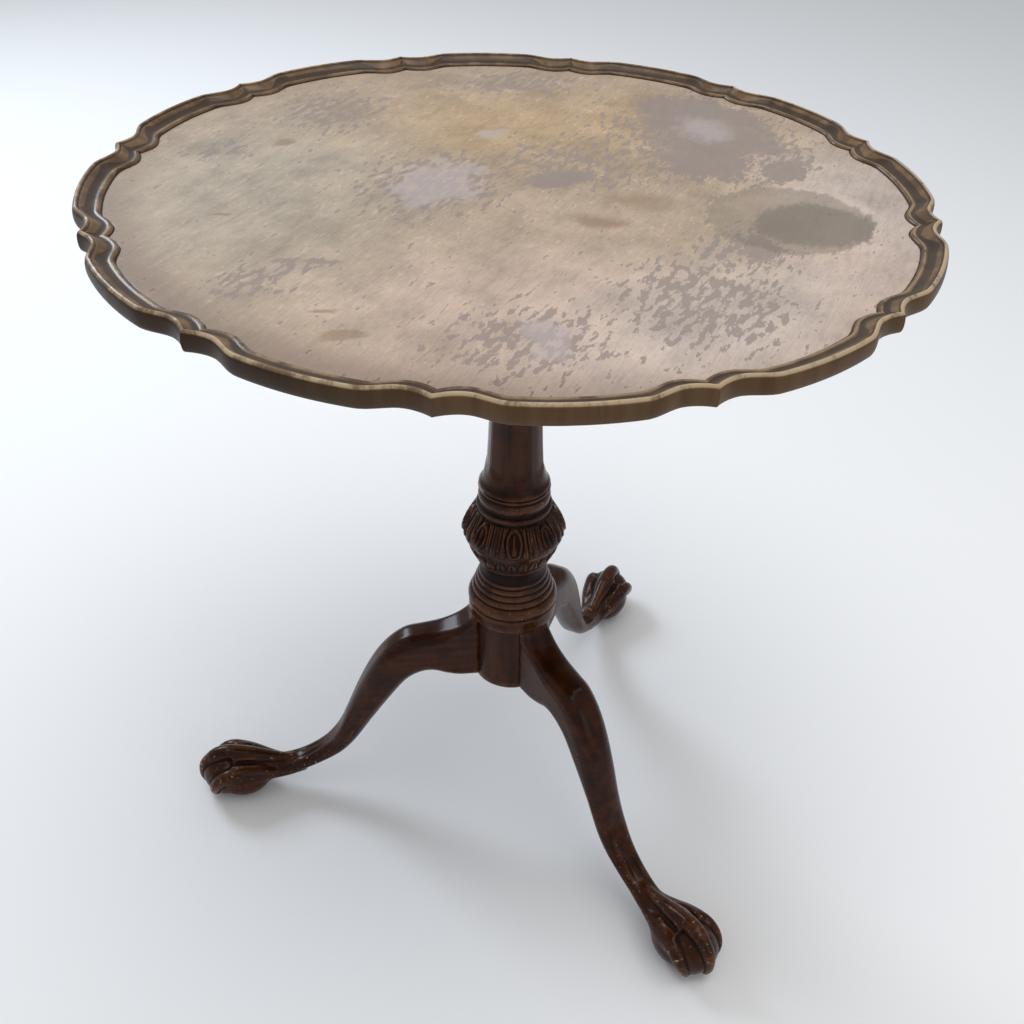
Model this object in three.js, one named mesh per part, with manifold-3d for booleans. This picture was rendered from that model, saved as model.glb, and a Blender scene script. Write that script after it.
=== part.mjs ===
// Tilt-top tea table: a dished top with a scalloped moulded rim on a turned and fluted pillar
// with three cabriole legs. The top tips up on two pins in a block at the head of the pillar.
// Millimetres, +Z up, origin on the floor under the pillar's axis.
import * as THREE from 'three';
import { mergeVertices } from 'three/addons/utils/BufferGeometryUtils.js';
import Module from 'manifold-3d';

const wasm = await Module();
wasm.setup();

// Clearances
const GAP = 0.3;                 // between pieces that touch
const PIN_PLAY = 0.35;           // round a pin that turns
const SWEEP_GAP = 0.6;           // under the top as it swings over the block

// Overall sizes
const TABLE_HEIGHT = 713;
const TOP_RADIUS = 340;          // to the point of each cusp
const LEG_COUNT = 3;
const TOE_REACH = 352;           // pillar's axis to the front of each foot

// Top board and its moulded rim
const BOARD_THICKNESS = 17;
const DISH_DEPTH = 8;
const LOBES = 12;
const LOBE_PHASE = 15.6;         // degrees from +X to one cusp
const VALLEY_DROP = 0.018;       // hollow each side of a cusp, in top radii
const BULGE_RISE = 0.0095;       // swell between two cusps, in top radii
const RIM_WIDTH = 21;

// Block and hinge
const BLOCK_THICKNESS = 26.8;
const BLOCK_WIDTH = 150;
const BLOCK_BACK = 75;           // pillar's axis to the catch side
const HINGE_X = 61;
const PIN_RADIUS = 6;
const PIN_BURIED = 30;

// Battens under the top
const BATTEN_LENGTH = 480;
const BATTEN_WIDTH = 32;
const BATTEN_DEPTH = 24;
const BATTEN_CLEARANCE = 0.5;
const BATTEN_SCREWS = [-0.44, -0.17, 0.2, 0.44];

// Pillar
const DRUM_RADIUS = 40;
const DRUM_BOTTOM = 170;
const DRUM_TOP = 254;
const SHAFT_FOOT = 413;          // where the fluted shaft stands on the urn
const SHAFT_RADIUS = 27.5;
const SHAFT_HEAD_RADIUS = 23;
const FLUTES = 8;
const FLUTE_DEPTH = 1.6;
const FLUTE_PHASE = 22.5;        // degrees from +X to one sharp edge between flutes
const FLUTE_START = 424;
const TENON_RADIUS = 16;
const PILLAR_SIDES = 32;
const KERF_WIDTH = 3;

// Legs
const LEG_WIDTH = 36;
const ANKLE_WIDTH = 27;
const BALL_RADIUS = 27;
const TONGUE_LENGTH = 14;
const TONGUE_NECK = 16;
const TONGUE_FLARE = 22;
const TONGUE_TOP = 240;

// Brace under the pillar
const BRACE_THICKNESS = 2.6;
const BRACE_REACH = 62;
const BRACE_HUB = 21;
const BRACE_ARM = 20;

// Sliding catch
const BOLT = { length: 59, width: 12, depth: 5, travel: 8 };
const CASE = { length: 62, width: 36, depth: 15.7 };
const KEEPER = { thickness: 1.5, width: 40, height: 20 };
const CATCH_REST_GAP = 2;        // bolt's tip to the keeper when drawn back

// Screws: head radius, shank radius, length
const WOOD_SCREW = { head: 4.6, shank: 2.2, length: 30 };
const BRACE_SCREW = { head: 4.2, shank: 2.0, length: 20 };
const SMALL_SCREW = { head: 3.0, shank: 1.4, length: 7 };
const KEEPER_SCREW = { head: 2.9, shank: 1.3, length: 14 };
const SCREW_SIDES = 8;

// Levels worked out from the sizes above
const BOARD_UNDER = TABLE_HEIGHT - BOARD_THICKNESS;
const FIELD_LEVEL = TABLE_HEIGHT - DISH_DEPTH;
const BLOCK_TOP = BOARD_UNDER - SWEEP_GAP;
const BLOCK_UNDER = BLOCK_TOP - BLOCK_THICKNESS;
const HINGE_Z = BLOCK_TOP - BLOCK_THICKNESS / 2;
const SHOULDER = BLOCK_UNDER - GAP;
const BATTEN_INNER = BLOCK_WIDTH / 2 + BATTEN_CLEARANCE;
const BATTEN_UNDER = BOARD_UNDER - GAP - BATTEN_DEPTH;
const BALL_Z = BALL_RADIUS - 0.4;
const BALL_X = TOE_REACH - 5 - BALL_RADIUS;
const KEEPER_FACE = -BLOCK_BACK - GAP - KEEPER.thickness;
const BOLT_TIP = KEEPER_FACE - CATCH_REST_GAP;
const BOLT_Z = HINGE_Z + 1.5;

const MATERIALS = {
  field: new THREE.MeshStandardMaterial({ color: 0x9a7c5e, roughness: 0.45, metalness: 0 }),
  mahogany: new THREE.MeshStandardMaterial({ color: 0x4a2316, roughness: 0.25, metalness: 0 }),
  inner: new THREE.MeshStandardMaterial({ color: 0x6b4630, roughness: 0.6, metalness: 0 }),
  iron: new THREE.MeshStandardMaterial({ color: 0x3a3633, roughness: 0.6, metalness: 0.9 }),
  brass: new THREE.MeshStandardMaterial({ color: 0xa07c3c, roughness: 0.35, metalness: 1 }),
};

const table = new THREE.Group();
const rad = THREE.MathUtils.degToRad;

// A manifold solid from any closed three.js geometry, turned faces-out if need be.
function solid(geometry) {
  let bare = geometry.clone();
  bare.deleteAttribute('normal');
  bare.deleteAttribute('uv');
  bare = mergeVertices(bare, 1e-4);
  const index = Array.from(bare.index.array);
  const faces = [];
  for (let i = 0; i < index.length; i += 3) {
    const [a, b, c] = index.slice(i, i + 3);
    if (a !== b && b !== c && a !== c) faces.push(a, b, c);
  }
  const build = (tris) => new wasm.Manifold(new wasm.Mesh({
    numProp: 3,
    vertProperties: new Float32Array(bare.attributes.position.array),
    triVerts: new Uint32Array(tris),
  }));
  const made = build(faces);
  return made.volume() > 0 ? made : build(faces.reverse());
}

// The same solid as a three.js geometry again.
function geometryOf(body) {
  const mesh = body.getMesh();
  const geometry = new THREE.BufferGeometry();
  geometry.setAttribute('position', new THREE.BufferAttribute(mesh.vertProperties, 3));
  geometry.setIndex(new THREE.BufferAttribute(mesh.triVerts, 1));
  return geometry;
}

function join(bodies) {
  return bodies.reduce((whole, body) => whole.add(body));
}

function cut(body, tools) {
  return tools.reduce((rest, tool) => rest.subtract(tool), body);
}

function place(geometry, x = 0, y = 0, z = 0) {
  return geometry.translate(x, y, z);
}

function box(length, width, height, x, y, z) {
  return solid(place(new THREE.BoxGeometry(length, width, height), x, y, z));
}

function addPiece(name, body, material) {
  const geometry = geometryOf(body);
  geometry.computeVertexNormals();
  const mesh = new THREE.Mesh(geometry, material);
  mesh.name = name;
  table.add(mesh);
  return mesh;
}

// A turned piece about Z from [radius, height] points, first and last on the axis.
function turned(points, sides) {
  const profile = points.map(([r, z]) => new THREE.Vector2(r, z));
  return new THREE.LatheGeometry(profile, sides).rotateX(Math.PI / 2);
}

// A skin over rings of equal point count, each end closed on its ring's centre.
function skin(rings) {
  const count = rings[0].length;
  const points = rings.flat();
  const ends = [rings[0], rings[rings.length - 1]].map((ring) => {
    const middle = new THREE.Vector3();
    ring.forEach((point) => middle.add(point));
    return middle.divideScalar(count);
  });
  const faces = [];
  for (let k = 0; k < rings.length - 1; k += 1) {
    for (let i = 0; i < count; i += 1) {
      const a = k * count + i;
      const b = k * count + ((i + 1) % count);
      faces.push(a, b, b + count, a, b + count, a + count);
    }
  }
  const top = (rings.length - 1) * count;
  for (let i = 0; i < count; i += 1) {
    const next = (i + 1) % count;
    faces.push(points.length, next, i);
    faces.push(points.length + 1, top + i, top + next);
  }
  const geometry = new THREE.BufferGeometry().setFromPoints([...points, ...ends]);
  geometry.setIndex(faces);
  return geometry;
}

// Screw pointing along +Z with its head's face at the origin; `ease` fattens it into its hole.
function screwSolid(size, ease = 0) {
  const neck = size.head - size.shank;
  const points = [
    [0, -ease],
    [size.head + ease, -ease],
    [size.head + ease, 0.4],
    [size.shank + ease, 0.4 + neck],
    [size.shank + ease, size.length - 2 + ease],
    [0, size.length + ease],
  ];
  return solid(turned(points, SCREW_SIDES));
}

function slotted(size) {
  return screwSolid(size).subtract(box(size.head * 2.2, 0.9, 1, 0, 0, 0));
}

function at(body, x, y, z) {
  return body.translate([x, y, z]);
}

// ---------------------------------------------------------------- top board

// Rim radius, in top radii, at an angle in degrees from the nearest cusp.
function rimRadius(angle) {
  const hollowEnd = 3.3;
  const shoulder = 8.2;
  const valley = 1 - VALLEY_DROP;
  const swell = 1 + BULGE_RISE;
  if (angle < hollowEnd) return valley + VALLEY_DROP * (1 - angle / hollowEnd) ** 2;
  if (angle < shoulder) {
    const t = (angle - hollowEnd) / (shoulder - hollowEnd);
    return valley + (swell - 0.0025 - valley) * t * t * (3 - 2 * t);
  }
  const s = (angle - shoulder) / (180 / LOBES - shoulder);
  return swell - 0.0025 * (1 - s) ** 2;
}

function rimRing(inset, level) {
  const half = [0, 1.6, 3.3, 5, 6.6, 8.2, 11.6];
  const lobe = [...half, 180 / LOBES, ...half.slice(1).reverse().map((a) => 360 / LOBES - a)];
  const ring = [];
  for (let k = 0; k < LOBES; k += 1) {
    for (const angle of lobe) {
      const fold = Math.min(angle, 360 / LOBES - angle);
      const radius = TOP_RADIUS * rimRadius(fold) - inset;
      const turn = rad(LOBE_PHASE + (k * 360) / LOBES + angle);
      ring.push(new THREE.Vector3(radius * Math.cos(turn), radius * Math.sin(turn), level));
    }
  }
  return ring;
}

function topBoard() {
  const crest = TABLE_HEIGHT;
  const section = [
    [6, BOARD_UNDER],
    [0.9, BOARD_UNDER + 3.5],
    [0, BOARD_UNDER + 7],
    [0, crest - 2.5],
    [1.6, crest],
    [3.6, crest],
    [5.2, crest - 2.2],
    [12, crest - 5],
    [RIM_WIDTH - 1.5, crest - 6.6],
    [RIM_WIDTH, FIELD_LEVEL],
  ];
  return solid(skin(section.map(([inset, level]) => rimRing(inset, level))));
}

// ------------------------------------------------------------ places of screws

const battenScrews = [];
for (const side of [-1, 1]) {
  for (const share of BATTEN_SCREWS) {
    battenScrews.push([share * BATTEN_LENGTH, side * (BATTEN_INNER + BATTEN_WIDTH / 2)]);
  }
}

const caseMiddle = BOLT_TIP - 5 - CASE.length / 2;
const caseScrews = [];
for (const end of [-1, 1]) {
  for (const side of [-1, 1]) {
    caseScrews.push([caseMiddle + end * (CASE.length / 2 - 7), side * (CASE.width / 2 - 6)]);
  }
}

// ------------------------------------------------------------ moving top unit

const caseUnder = BOARD_UNDER - GAP - CASE.depth;
const caseFlange = 4;
const caseScrewHead = BOARD_UNDER - GAP - caseFlange;

addPiece('table_top', cut(topBoard(), [
  ...battenScrews.map(([x, y]) => at(screwSolid(WOOD_SCREW, GAP), x, y, BATTEN_UNDER)),
  ...caseScrews.map(([x, y]) => at(screwSolid(SMALL_SCREW, GAP), x, y, caseScrewHead)),
]), MATERIALS.field);

function batten(side) {
  const half = BATTEN_LENGTH / 2;
  const outline = new THREE.Shape();
  outline.moveTo(-half, BATTEN_DEPTH);
  outline.lineTo(-half, BATTEN_DEPTH * 0.45);
  outline.quadraticCurveTo(-half + 8, BATTEN_DEPTH * 0.1, -half + 40, 0);
  outline.lineTo(half - 40, 0);
  outline.quadraticCurveTo(half - 8, BATTEN_DEPTH * 0.1, half, BATTEN_DEPTH * 0.45);
  outline.lineTo(half, BATTEN_DEPTH);
  const options = { depth: BATTEN_WIDTH, bevelEnabled: false, curveSegments: 4 };
  const bar = new THREE.ExtrudeGeometry(outline, options).rotateX(Math.PI / 2);
  const outer = side > 0 ? BATTEN_INNER + BATTEN_WIDTH : -BATTEN_INNER;
  const body = solid(place(bar, 0, outer, BATTEN_UNDER));
  const bore = new THREE.CylinderGeometry(
    PIN_RADIUS + PIN_PLAY, PIN_RADIUS + PIN_PLAY, BATTEN_WIDTH * 2, 16);
  const middle = side * (BATTEN_INNER + BATTEN_WIDTH / 2);
  return cut(body, [
    solid(place(bore, HINGE_X, middle, HINGE_Z)),
    ...battenScrews.filter(([, y]) => y * side > 0)
      .map(([x, y]) => at(screwSolid(WOOD_SCREW, GAP), x, y, BATTEN_UNDER)),
  ]);
}

addPiece('batten_near', batten(-1), MATERIALS.inner);
addPiece('batten_far', batten(1), MATERIALS.inner);
battenScrews.forEach(([x, y], i) => {
  addPiece(`batten_screw_${i + 1}`, at(slotted(WOOD_SCREW), x, y, BATTEN_UNDER), MATERIALS.iron);
});

// ------------------------------------------------------------ sliding catch

function catchCase() {
  const bodyWidth = BOLT.width + 10;
  const level = BOARD_UNDER - GAP;
  const flange = box(CASE.length, CASE.width, caseFlange, caseMiddle, 0, level - caseFlange / 2);
  const tunnel = box(CASE.length, bodyWidth, CASE.depth, caseMiddle, 0, level - CASE.depth / 2);
  const play = 2 * GAP;
  const boltWay = box(
    CASE.length + 10, BOLT.width + play, BOLT.depth + play, caseMiddle, 0, BOLT_Z);
  const stemWay = box(
    BOLT.travel + 2 * (2.6 + GAP), 2 * (2.6 + GAP), 12,
    knobX + BOLT.travel / 2, 0, BOLT_Z - 6);
  return cut(flange.add(tunnel), [
    boltWay,
    stemWay,
    ...caseScrews.map(([x, y]) => at(screwSolid(SMALL_SCREW, GAP), x, y, caseScrewHead)),
  ]);
}

const knobX = BOLT_TIP - BOLT.length * 0.62;
const stemTop = BOLT_Z + 1;

function catchBolt() {
  const bar = box(
    BOLT.length, BOLT.width, BOLT.depth, BOLT_TIP - BOLT.length / 2, 0, BOLT_Z);
  const socket = new THREE.CylinderGeometry(2 + GAP, 2 + GAP, 10, 12).rotateX(Math.PI / 2);
  return bar.subtract(solid(place(socket, knobX, 0, stemTop + GAP - 5)));
}

function catchKnob() {
  const under = caseUnder - 1;
  const boltUnder = BOLT_Z - BOLT.depth / 2 - GAP;
  const points = [
    [0, under - 9], [3.4, under - 8.4], [5, under - 5.4], [4.4, under - 2.4], [2.6, under - 0.6],
    [2.6, boltUnder], [2, boltUnder], [2, stemTop], [0, stemTop],
  ];
  return at(solid(turned(points, 12)), knobX, 0, 0);
}

addPiece('catch_case', catchCase(), MATERIALS.brass);
addPiece('catch_bolt', catchBolt(), MATERIALS.brass);
addPiece('catch_knob', catchKnob(), MATERIALS.brass);
caseScrews.forEach(([x, y], i) => {
  addPiece(`catch_screw_${i + 1}`, at(slotted(SMALL_SCREW), x, y, caseScrewHead), MATERIALS.brass);
});

// ------------------------------------------------------------ block and pins

const keeperTop = BLOCK_TOP - 1.5;
const keeperScrewY = KEEPER.width / 2 - 6;

function sideways(body) {
  return body.rotate([0, 90, 0]);
}

function keeperScrewAt(body, side) {
  return at(sideways(body), KEEPER_FACE, side * keeperScrewY, keeperTop - KEEPER.height / 2);
}

function boltHole(depth) {
  const ease = 4 * GAP;
  return box(
    depth, BOLT.width + ease, BOLT.depth + ease, KEEPER_FACE + depth / 2 - 1, 0, BOLT_Z);
}

function pillarBlock() {
  const outline = new THREE.Shape();
  outline.moveTo(-BLOCK_BACK, -BLOCK_THICKNESS / 2);
  outline.lineTo(HINGE_X, -BLOCK_THICKNESS / 2);
  outline.absarc(HINGE_X, 0, BLOCK_THICKNESS / 2, -Math.PI / 2, Math.PI / 2, false);
  outline.lineTo(-BLOCK_BACK, BLOCK_THICKNESS / 2);
  const options = { depth: BLOCK_WIDTH, bevelEnabled: false, curveSegments: 14 };
  const slab = new THREE.ExtrudeGeometry(outline, options).rotateX(Math.PI / 2);
  const tenonBore = new THREE.CylinderGeometry(
    TENON_RADIUS + GAP, TENON_RADIUS + GAP, 2 * BLOCK_THICKNESS, PILLAR_SIDES).rotateX(Math.PI / 2);
  const pinBores = [-1, 1].map((side) => {
    const length = PIN_BURIED + GAP + 10;
    const bore = new THREE.CylinderGeometry(PIN_RADIUS + GAP, PIN_RADIUS + GAP, length, 16);
    const middle = side * (BLOCK_WIDTH / 2 + 10 - length / 2);
    return solid(place(bore, HINGE_X, middle, HINGE_Z));
  });
  return cut(solid(place(slab, 0, BLOCK_WIDTH / 2, HINGE_Z)), [
    solid(place(tenonBore, 0, 0, HINGE_Z)),
    ...pinBores,
    boltHole(BOLT.travel + 5),
    ...[-1, 1].map((side) => keeperScrewAt(screwSolid(KEEPER_SCREW, GAP), side)),
  ]);
}

function hingePin(side) {
  const length = PIN_BURIED + BATTEN_CLEARANCE + BATTEN_WIDTH - GAP;
  const pin = new THREE.CylinderGeometry(PIN_RADIUS, PIN_RADIUS, length, 16);
  const middle = side * (BLOCK_WIDTH / 2 - PIN_BURIED + length / 2);
  return solid(place(pin, HINGE_X, middle, HINGE_Z));
}

function keeperPlate() {
  const plate = box(
    KEEPER.thickness, KEEPER.width, KEEPER.height,
    KEEPER_FACE + KEEPER.thickness / 2, 0, keeperTop - KEEPER.height / 2);
  return cut(plate, [
    boltHole(BOLT.travel),
    ...[-1, 1].map((side) => keeperScrewAt(screwSolid(KEEPER_SCREW, GAP), side)),
  ]);
}

addPiece('pillar_block', pillarBlock(), MATERIALS.inner);
addPiece('hinge_pin_near', hingePin(-1), MATERIALS.mahogany);
addPiece('hinge_pin_far', hingePin(1), MATERIALS.mahogany);
addPiece('keeper_plate', keeperPlate(), MATERIALS.brass);
[-1, 1].forEach((side, i) => {
  addPiece(`keeper_screw_${i + 1}`, keeperScrewAt(slotted(KEEPER_SCREW), side), MATERIALS.brass);
});

// ------------------------------------------------------------ pillar

const TENON_TOP = BLOCK_TOP - 2;

function pillarProfile() {
  const foot = SHAFT_FOOT;
  const drum = [
    [0, DRUM_BOTTOM], [DRUM_RADIUS, DRUM_BOTTOM], [DRUM_RADIUS, DRUM_TOP],
    [45, DRUM_TOP], [45.3, 268.4], [43.6, 269.4], [43.4, 270.4],
  ];
  const steps = [
    [45.4, 271.6], [46, 274.4], [45.2, 278.4], [42.8, 281.8], [41.4, 282.8], [41.8, 283.8],
    [40.4, 288.8], [38.8, 289.8], [38.2, 295.8], [36.8, 296.8], [36.1, 302], [34.8, 303],
    [34.6, 307.4],
  ];
  const cove = [[33.6, 309.4], [33.3, 314], [34.2, 319.4], [36.4, 323.6], [37.8, 325.4], [37.6, 328]];
  const urn = [
    [38.6, 329.4], [41.6, 335], [44.2, 341], [45, 347], [46.8, 349], [47, 351],
    [49.9, 353], [51.2, 356.6], [49.4, 361.6], [47.2, 366], [44.4, 371], [42, 376], [39.8, 381],
    [37.6, 386], [37, 388.4], [37, 391.4], [34.8, 393], [34.6, 396.4], [35.5, 400.6],
    [34.9, 404.2], [33.2, 406.8], [33.9, 409.4], [35.4, 410.6], [35.2, 412.2],
  ];
  const shaft = [
    [33.7, foot], [34.9, foot + 1.4], [34.5, foot + 3.2], [32.8, foot + 5.4], [31.2, foot + 9],
    [29.7, foot + 14], [28.6, foot + 20], [28, foot + 28], [27.6, foot + 38],
    [SHAFT_RADIUS - 0.5, foot + 52],
    [SHAFT_HEAD_RADIUS, SHOULDER - 42], [SHAFT_HEAD_RADIUS + 0.3, SHOULDER - 36],
  ];
  const head = [
    [SHAFT_HEAD_RADIUS + 4, SHOULDER - 33], [SHAFT_HEAD_RADIUS + 4, SHOULDER - 29],
    [SHAFT_HEAD_RADIUS, SHOULDER - 26], [SHAFT_HEAD_RADIUS + 1, SHOULDER - 18],
    [SHAFT_HEAD_RADIUS + 5, SHOULDER - 9], [SHAFT_HEAD_RADIUS + 8, SHOULDER - 6],
    [SHAFT_HEAD_RADIUS + 8, SHOULDER], [TENON_RADIUS, SHOULDER],
    [TENON_RADIUS, TENON_TOP], [0, TENON_TOP],
  ];
  return [...drum, ...steps, ...cove, ...urn, ...shaft, ...head];
}

// Hollow of the flutes at a height and an angle: nothing on the sharp edge between two flutes.
function fluteHollow(level, angle) {
  const rise = THREE.MathUtils.smoothstep(level, FLUTE_START, FLUTE_START + 10);
  const fall = 1 - THREE.MathUtils.smoothstep(level, SHOULDER - 44, SHOULDER - 38);
  const turned = angle - THREE.MathUtils.degToRad(FLUTE_PHASE);
  const phase = THREE.MathUtils.euclideanModulo((turned * FLUTES) / (2 * Math.PI), 1);
  return FLUTE_DEPTH * rise * fall * Math.sin(Math.PI * phase);
}

function pillarBody() {
  const profile = pillarProfile();
  const rings = profile.slice(1, -1).map(([radius, level]) => {
    const ring = [];
    for (let i = 0; i < PILLAR_SIDES; i += 1) {
      const angle = (i / PILLAR_SIDES) * 2 * Math.PI;
      const r = radius - fluteHollow(level, angle);
      ring.push(new THREE.Vector3(r * Math.cos(angle), r * Math.sin(angle), level));
    }
    return ring;
  });
  return solid(skin(rings));
}

// Dovetail key, wider towards the pillar's axis, along +X.
function tongue(ease, bottom) {
  const neck = TONGUE_NECK / 2 + ease;
  const flare = TONGUE_FLARE / 2 + ease;
  const inner = DRUM_RADIUS - TONGUE_LENGTH - ease;
  const outer = DRUM_RADIUS + 3;
  const outline = new THREE.Shape();
  outline.moveTo(outer, -neck);
  outline.lineTo(outer, neck);
  outline.lineTo(DRUM_RADIUS, neck);
  outline.lineTo(inner, flare);
  outline.lineTo(inner, -flare);
  outline.lineTo(DRUM_RADIUS, -neck);
  const options = { depth: TONGUE_TOP + ease - bottom, bevelEnabled: false };
  return solid(place(new THREE.ExtrudeGeometry(outline, options), 0, 0, bottom));
}

const legAngles = Array.from({ length: LEG_COUNT }, (_, k) => 180 + (k * 360) / LEG_COUNT);
const legUnder = DRUM_BOTTOM;
const braceUnder = DRUM_BOTTOM + 0.1;
const legScrewRadii = [DRUM_RADIUS - 7, BRACE_REACH - 9];

function spun(body, degrees) {
  return body.rotate([0, 0, degrees]);
}

// Three-armed plate let into the underside; `ease` fattens it into its recess.
function braceSolid(ease) {
  const outline = new THREE.Shape();
  const hub = BRACE_HUB + ease;
  const half = BRACE_ARM / 2 + ease;
  const reach = BRACE_REACH + ease;
  const rootX = Math.sqrt(hub ** 2 - half ** 2);
  const corners = [
    [rootX, -half], [reach - 6, -half * 0.8], [reach, -half * 0.4],
    [reach, half * 0.4], [reach - 6, half * 0.8], [rootX, half],
  ];
  const start = Math.asin(half / hub);
  legAngles.forEach((degrees, k) => {
    const along = rad(degrees);
    const cos = Math.cos(along);
    const sin = Math.sin(along);
    corners.forEach(([x, y], i) => {
      if (k === 0 && i === 0) outline.moveTo(x * cos - y * sin, x * sin + y * cos);
      else outline.lineTo(x * cos - y * sin, x * sin + y * cos);
    });
    outline.absarc(0, 0, hub, along + start, along + rad(360 / LEG_COUNT) - start, false);
  });
  const options = {
    depth: BRACE_THICKNESS + (ease > 0 ? 10 + ease : 0),
    bevelEnabled: false,
    curveSegments: 6,
  };
  const base = ease > 0 ? braceUnder - 10 : braceUnder;
  return solid(place(new THREE.ExtrudeGeometry(outline, options), 0, 0, base));
}

function pillar() {
  const kerf = box(
    2 * TENON_RADIUS + 2, KERF_WIDTH + 2 * GAP, 18, 0, 0, TENON_TOP - 16 + 9);
  return cut(pillarBody(), [
    ...legAngles.map((angle) => spun(tongue(GAP, DRUM_BOTTOM - 10), angle)),
    braceSolid(GAP),
    at(screwSolid(BRACE_SCREW, GAP), 0, 0, braceUnder),
    kerf,
  ]);
}

addPiece('pillar', pillar(), MATERIALS.mahogany);
addPiece('tenon_wedge', box(
  2 * TENON_RADIUS - 2, KERF_WIDTH, 15, 0, 0, TENON_TOP - 16 + GAP + 7.5), MATERIALS.inner);

// ------------------------------------------------------------ legs

// Stations down the leg: upper point, lower point (distance out, height) and half-width share.
const LEG_STATIONS = [
  [34, 257, 34, legUnder, 1], [42, 252, 42, legUnder, 1], [47, 245.4, 47, legUnder, 1],
  [58, 236.8, 58, legUnder, 1.04], [76, 229.8, 72, 172.6, 1.2], [97, 226.5, 86, 176.6, 1.38],
  [114, 222.5, 99, 174.5, 1.45], [130, 211, 111, 166.5, 1.42], [143, 195.5, 121, 154, 1.35],
  [153, 179, 131, 139, 1.27], [162, 161, 142, 122, 1.17], [171, 140.5, 152, 106, 1.06],
  [181, 115.5, 164, 88, 0.92], [192, 88, 177, 70.5, 0.72], [205, 68.5, 190, 56.5, 0.5],
  [220, 55.5, 206, 45, 0.28], [238, 46, 226, 33.5, 0.1], [256, 42.5, 247, 23.5, 0],
  [272, 46, 266, 16, 0.15], [290, 50, 284, 12, 0.35], [306, 46, 302, 12, 0.3],
];

const SECTION_SIDES = 12;
const TOE_SIDES = 8;

function legBody() {
  const rings = LEG_STATIONS.map(([upX, upZ, lowX, lowZ, share]) => {
    const half = THREE.MathUtils.lerp(ANKLE_WIDTH, LEG_WIDTH, share) / 2;
    const ring = [];
    for (let i = 0; i < SECTION_SIDES; i += 1) {
      const angle = ((i + 0.5) / SECTION_SIDES) * 2 * Math.PI;
      const across = Math.sign(Math.cos(angle)) * Math.abs(Math.cos(angle)) ** 0.72;
      const up = Math.sign(Math.sin(angle)) * Math.abs(Math.sin(angle)) ** 0.72;
      const t = 0.5 + up / 2;
      ring.push(new THREE.Vector3(
        THREE.MathUtils.lerp(lowX, upX, t),
        half * across,
        THREE.MathUtils.lerp(lowZ, upZ, t),
      ));
    }
    return ring;
  });
  return solid(skin(rings));
}

// A tapering toe through [out, aside, height, radius] points, rounded off at both ends.
function toe(points) {
  const path = new THREE.CatmullRomCurve3(points.map(([x, y, z]) => new THREE.Vector3(x, y, z)));
  const steps = 8;
  const frames = path.computeFrenetFrames(steps, false);
  const rings = [];
  for (let k = 0; k <= steps; k += 1) {
    const t = k / steps;
    const centre = path.getPoint(t);
    const place01 = t * (points.length - 1);
    const low = Math.min(Math.floor(place01), points.length - 2);
    const radius = THREE.MathUtils.lerp(points[low][3], points[low + 1][3], place01 - low);
    const ring = [];
    for (let i = 0; i < TOE_SIDES; i += 1) {
      const angle = (i / TOE_SIDES) * 2 * Math.PI;
      const offset = frames.normals[k].clone().multiplyScalar(radius * Math.cos(angle));
      offset.addScaledVector(frames.binormals[k], radius * Math.sin(angle));
      ring.push(centre.clone().add(offset));
    }
    rings.push(ring);
  }
  return solid(skin(rings));
}

function foot() {
  const ball = new THREE.SphereGeometry(BALL_RADIUS, 18, 12).rotateX(Math.PI / 2);
  const x = BALL_X;
  const centreToe = [
    [x - 62, 0, 33, 8], [x - 32, 0, 46, 8.5], [x - 10, 0, 57, 9], [x + 11, 0, 54, 8.5],
    [x + 23, 0.3, 41, 7], [x + 26, 0.3, 25, 5.5], [x + 21, 0.3, 9, 3],
  ];
  const sideToe = (side) => [
    [x - 58, side * 6, 27, 7], [x - 32, side * 14, 34, 7], [x - 12, side * 20.5, 42.5, 8],
    [x + 5, side * 23.5, 39, 7.5], [x + 14, side * 22.5, 27, 6], [x + 13, side * 17, 9, 3],
  ];
  const heel = [[x - 50, 0, 22, 8], [x - 38, 0.3, 22, 8], [x - 27, 0.3, 16, 6], [x - 20, 0, 7, 3]];
  return join([
    solid(place(ball, x, 0, BALL_Z)),
    toe(centreToe), toe(sideToe(1)), toe(sideToe(-1)), toe(heel),
  ]);
}

function leg() {
  const drum = new THREE.CylinderGeometry(
    DRUM_RADIUS + GAP + 0.2, DRUM_RADIUS + GAP + 0.2, 200, PILLAR_SIDES).rotateX(Math.PI / 2);
  const shoulder = legBody().subtract(solid(place(drum, 0, 0, DRUM_BOTTOM + 40)));
  const key = tongue(0, legUnder);
  const underBand = box(60, 60, 20, 30, 0, DRUM_TOP - GAP + 10);
  const floor = box(500, 200, 40, 250, 0, -20);
  return cut(join([shoulder, key, foot()]), [
    underBand,
    floor,
    spun(braceSolid(GAP), -legAngles[0]),
    ...legScrewRadii.map((x) => at(screwSolid(BRACE_SCREW, GAP), x, 0, braceUnder)),
  ]);
}

legAngles.forEach((angle, k) => {
  addPiece(`leg_${k + 1}`, spun(leg(), angle), MATERIALS.mahogany);
});

// ------------------------------------------------------------ brace

const braceScrews = [[0, 0]];
for (const angle of legAngles) {
  for (const radius of legScrewRadii) {
    braceScrews.push([radius * Math.cos(rad(angle)), radius * Math.sin(rad(angle))]);
  }
}

addPiece('brace_plate', cut(braceSolid(0), braceScrews.map(
  ([x, y]) => at(screwSolid(BRACE_SCREW, GAP), x, y, braceUnder))), MATERIALS.iron);
braceScrews.forEach(([x, y], i) => {
  addPiece(`brace_screw_${i + 1}`, at(slotted(BRACE_SCREW), x, y, braceUnder), MATERIALS.iron);
});

export default table;
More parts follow.
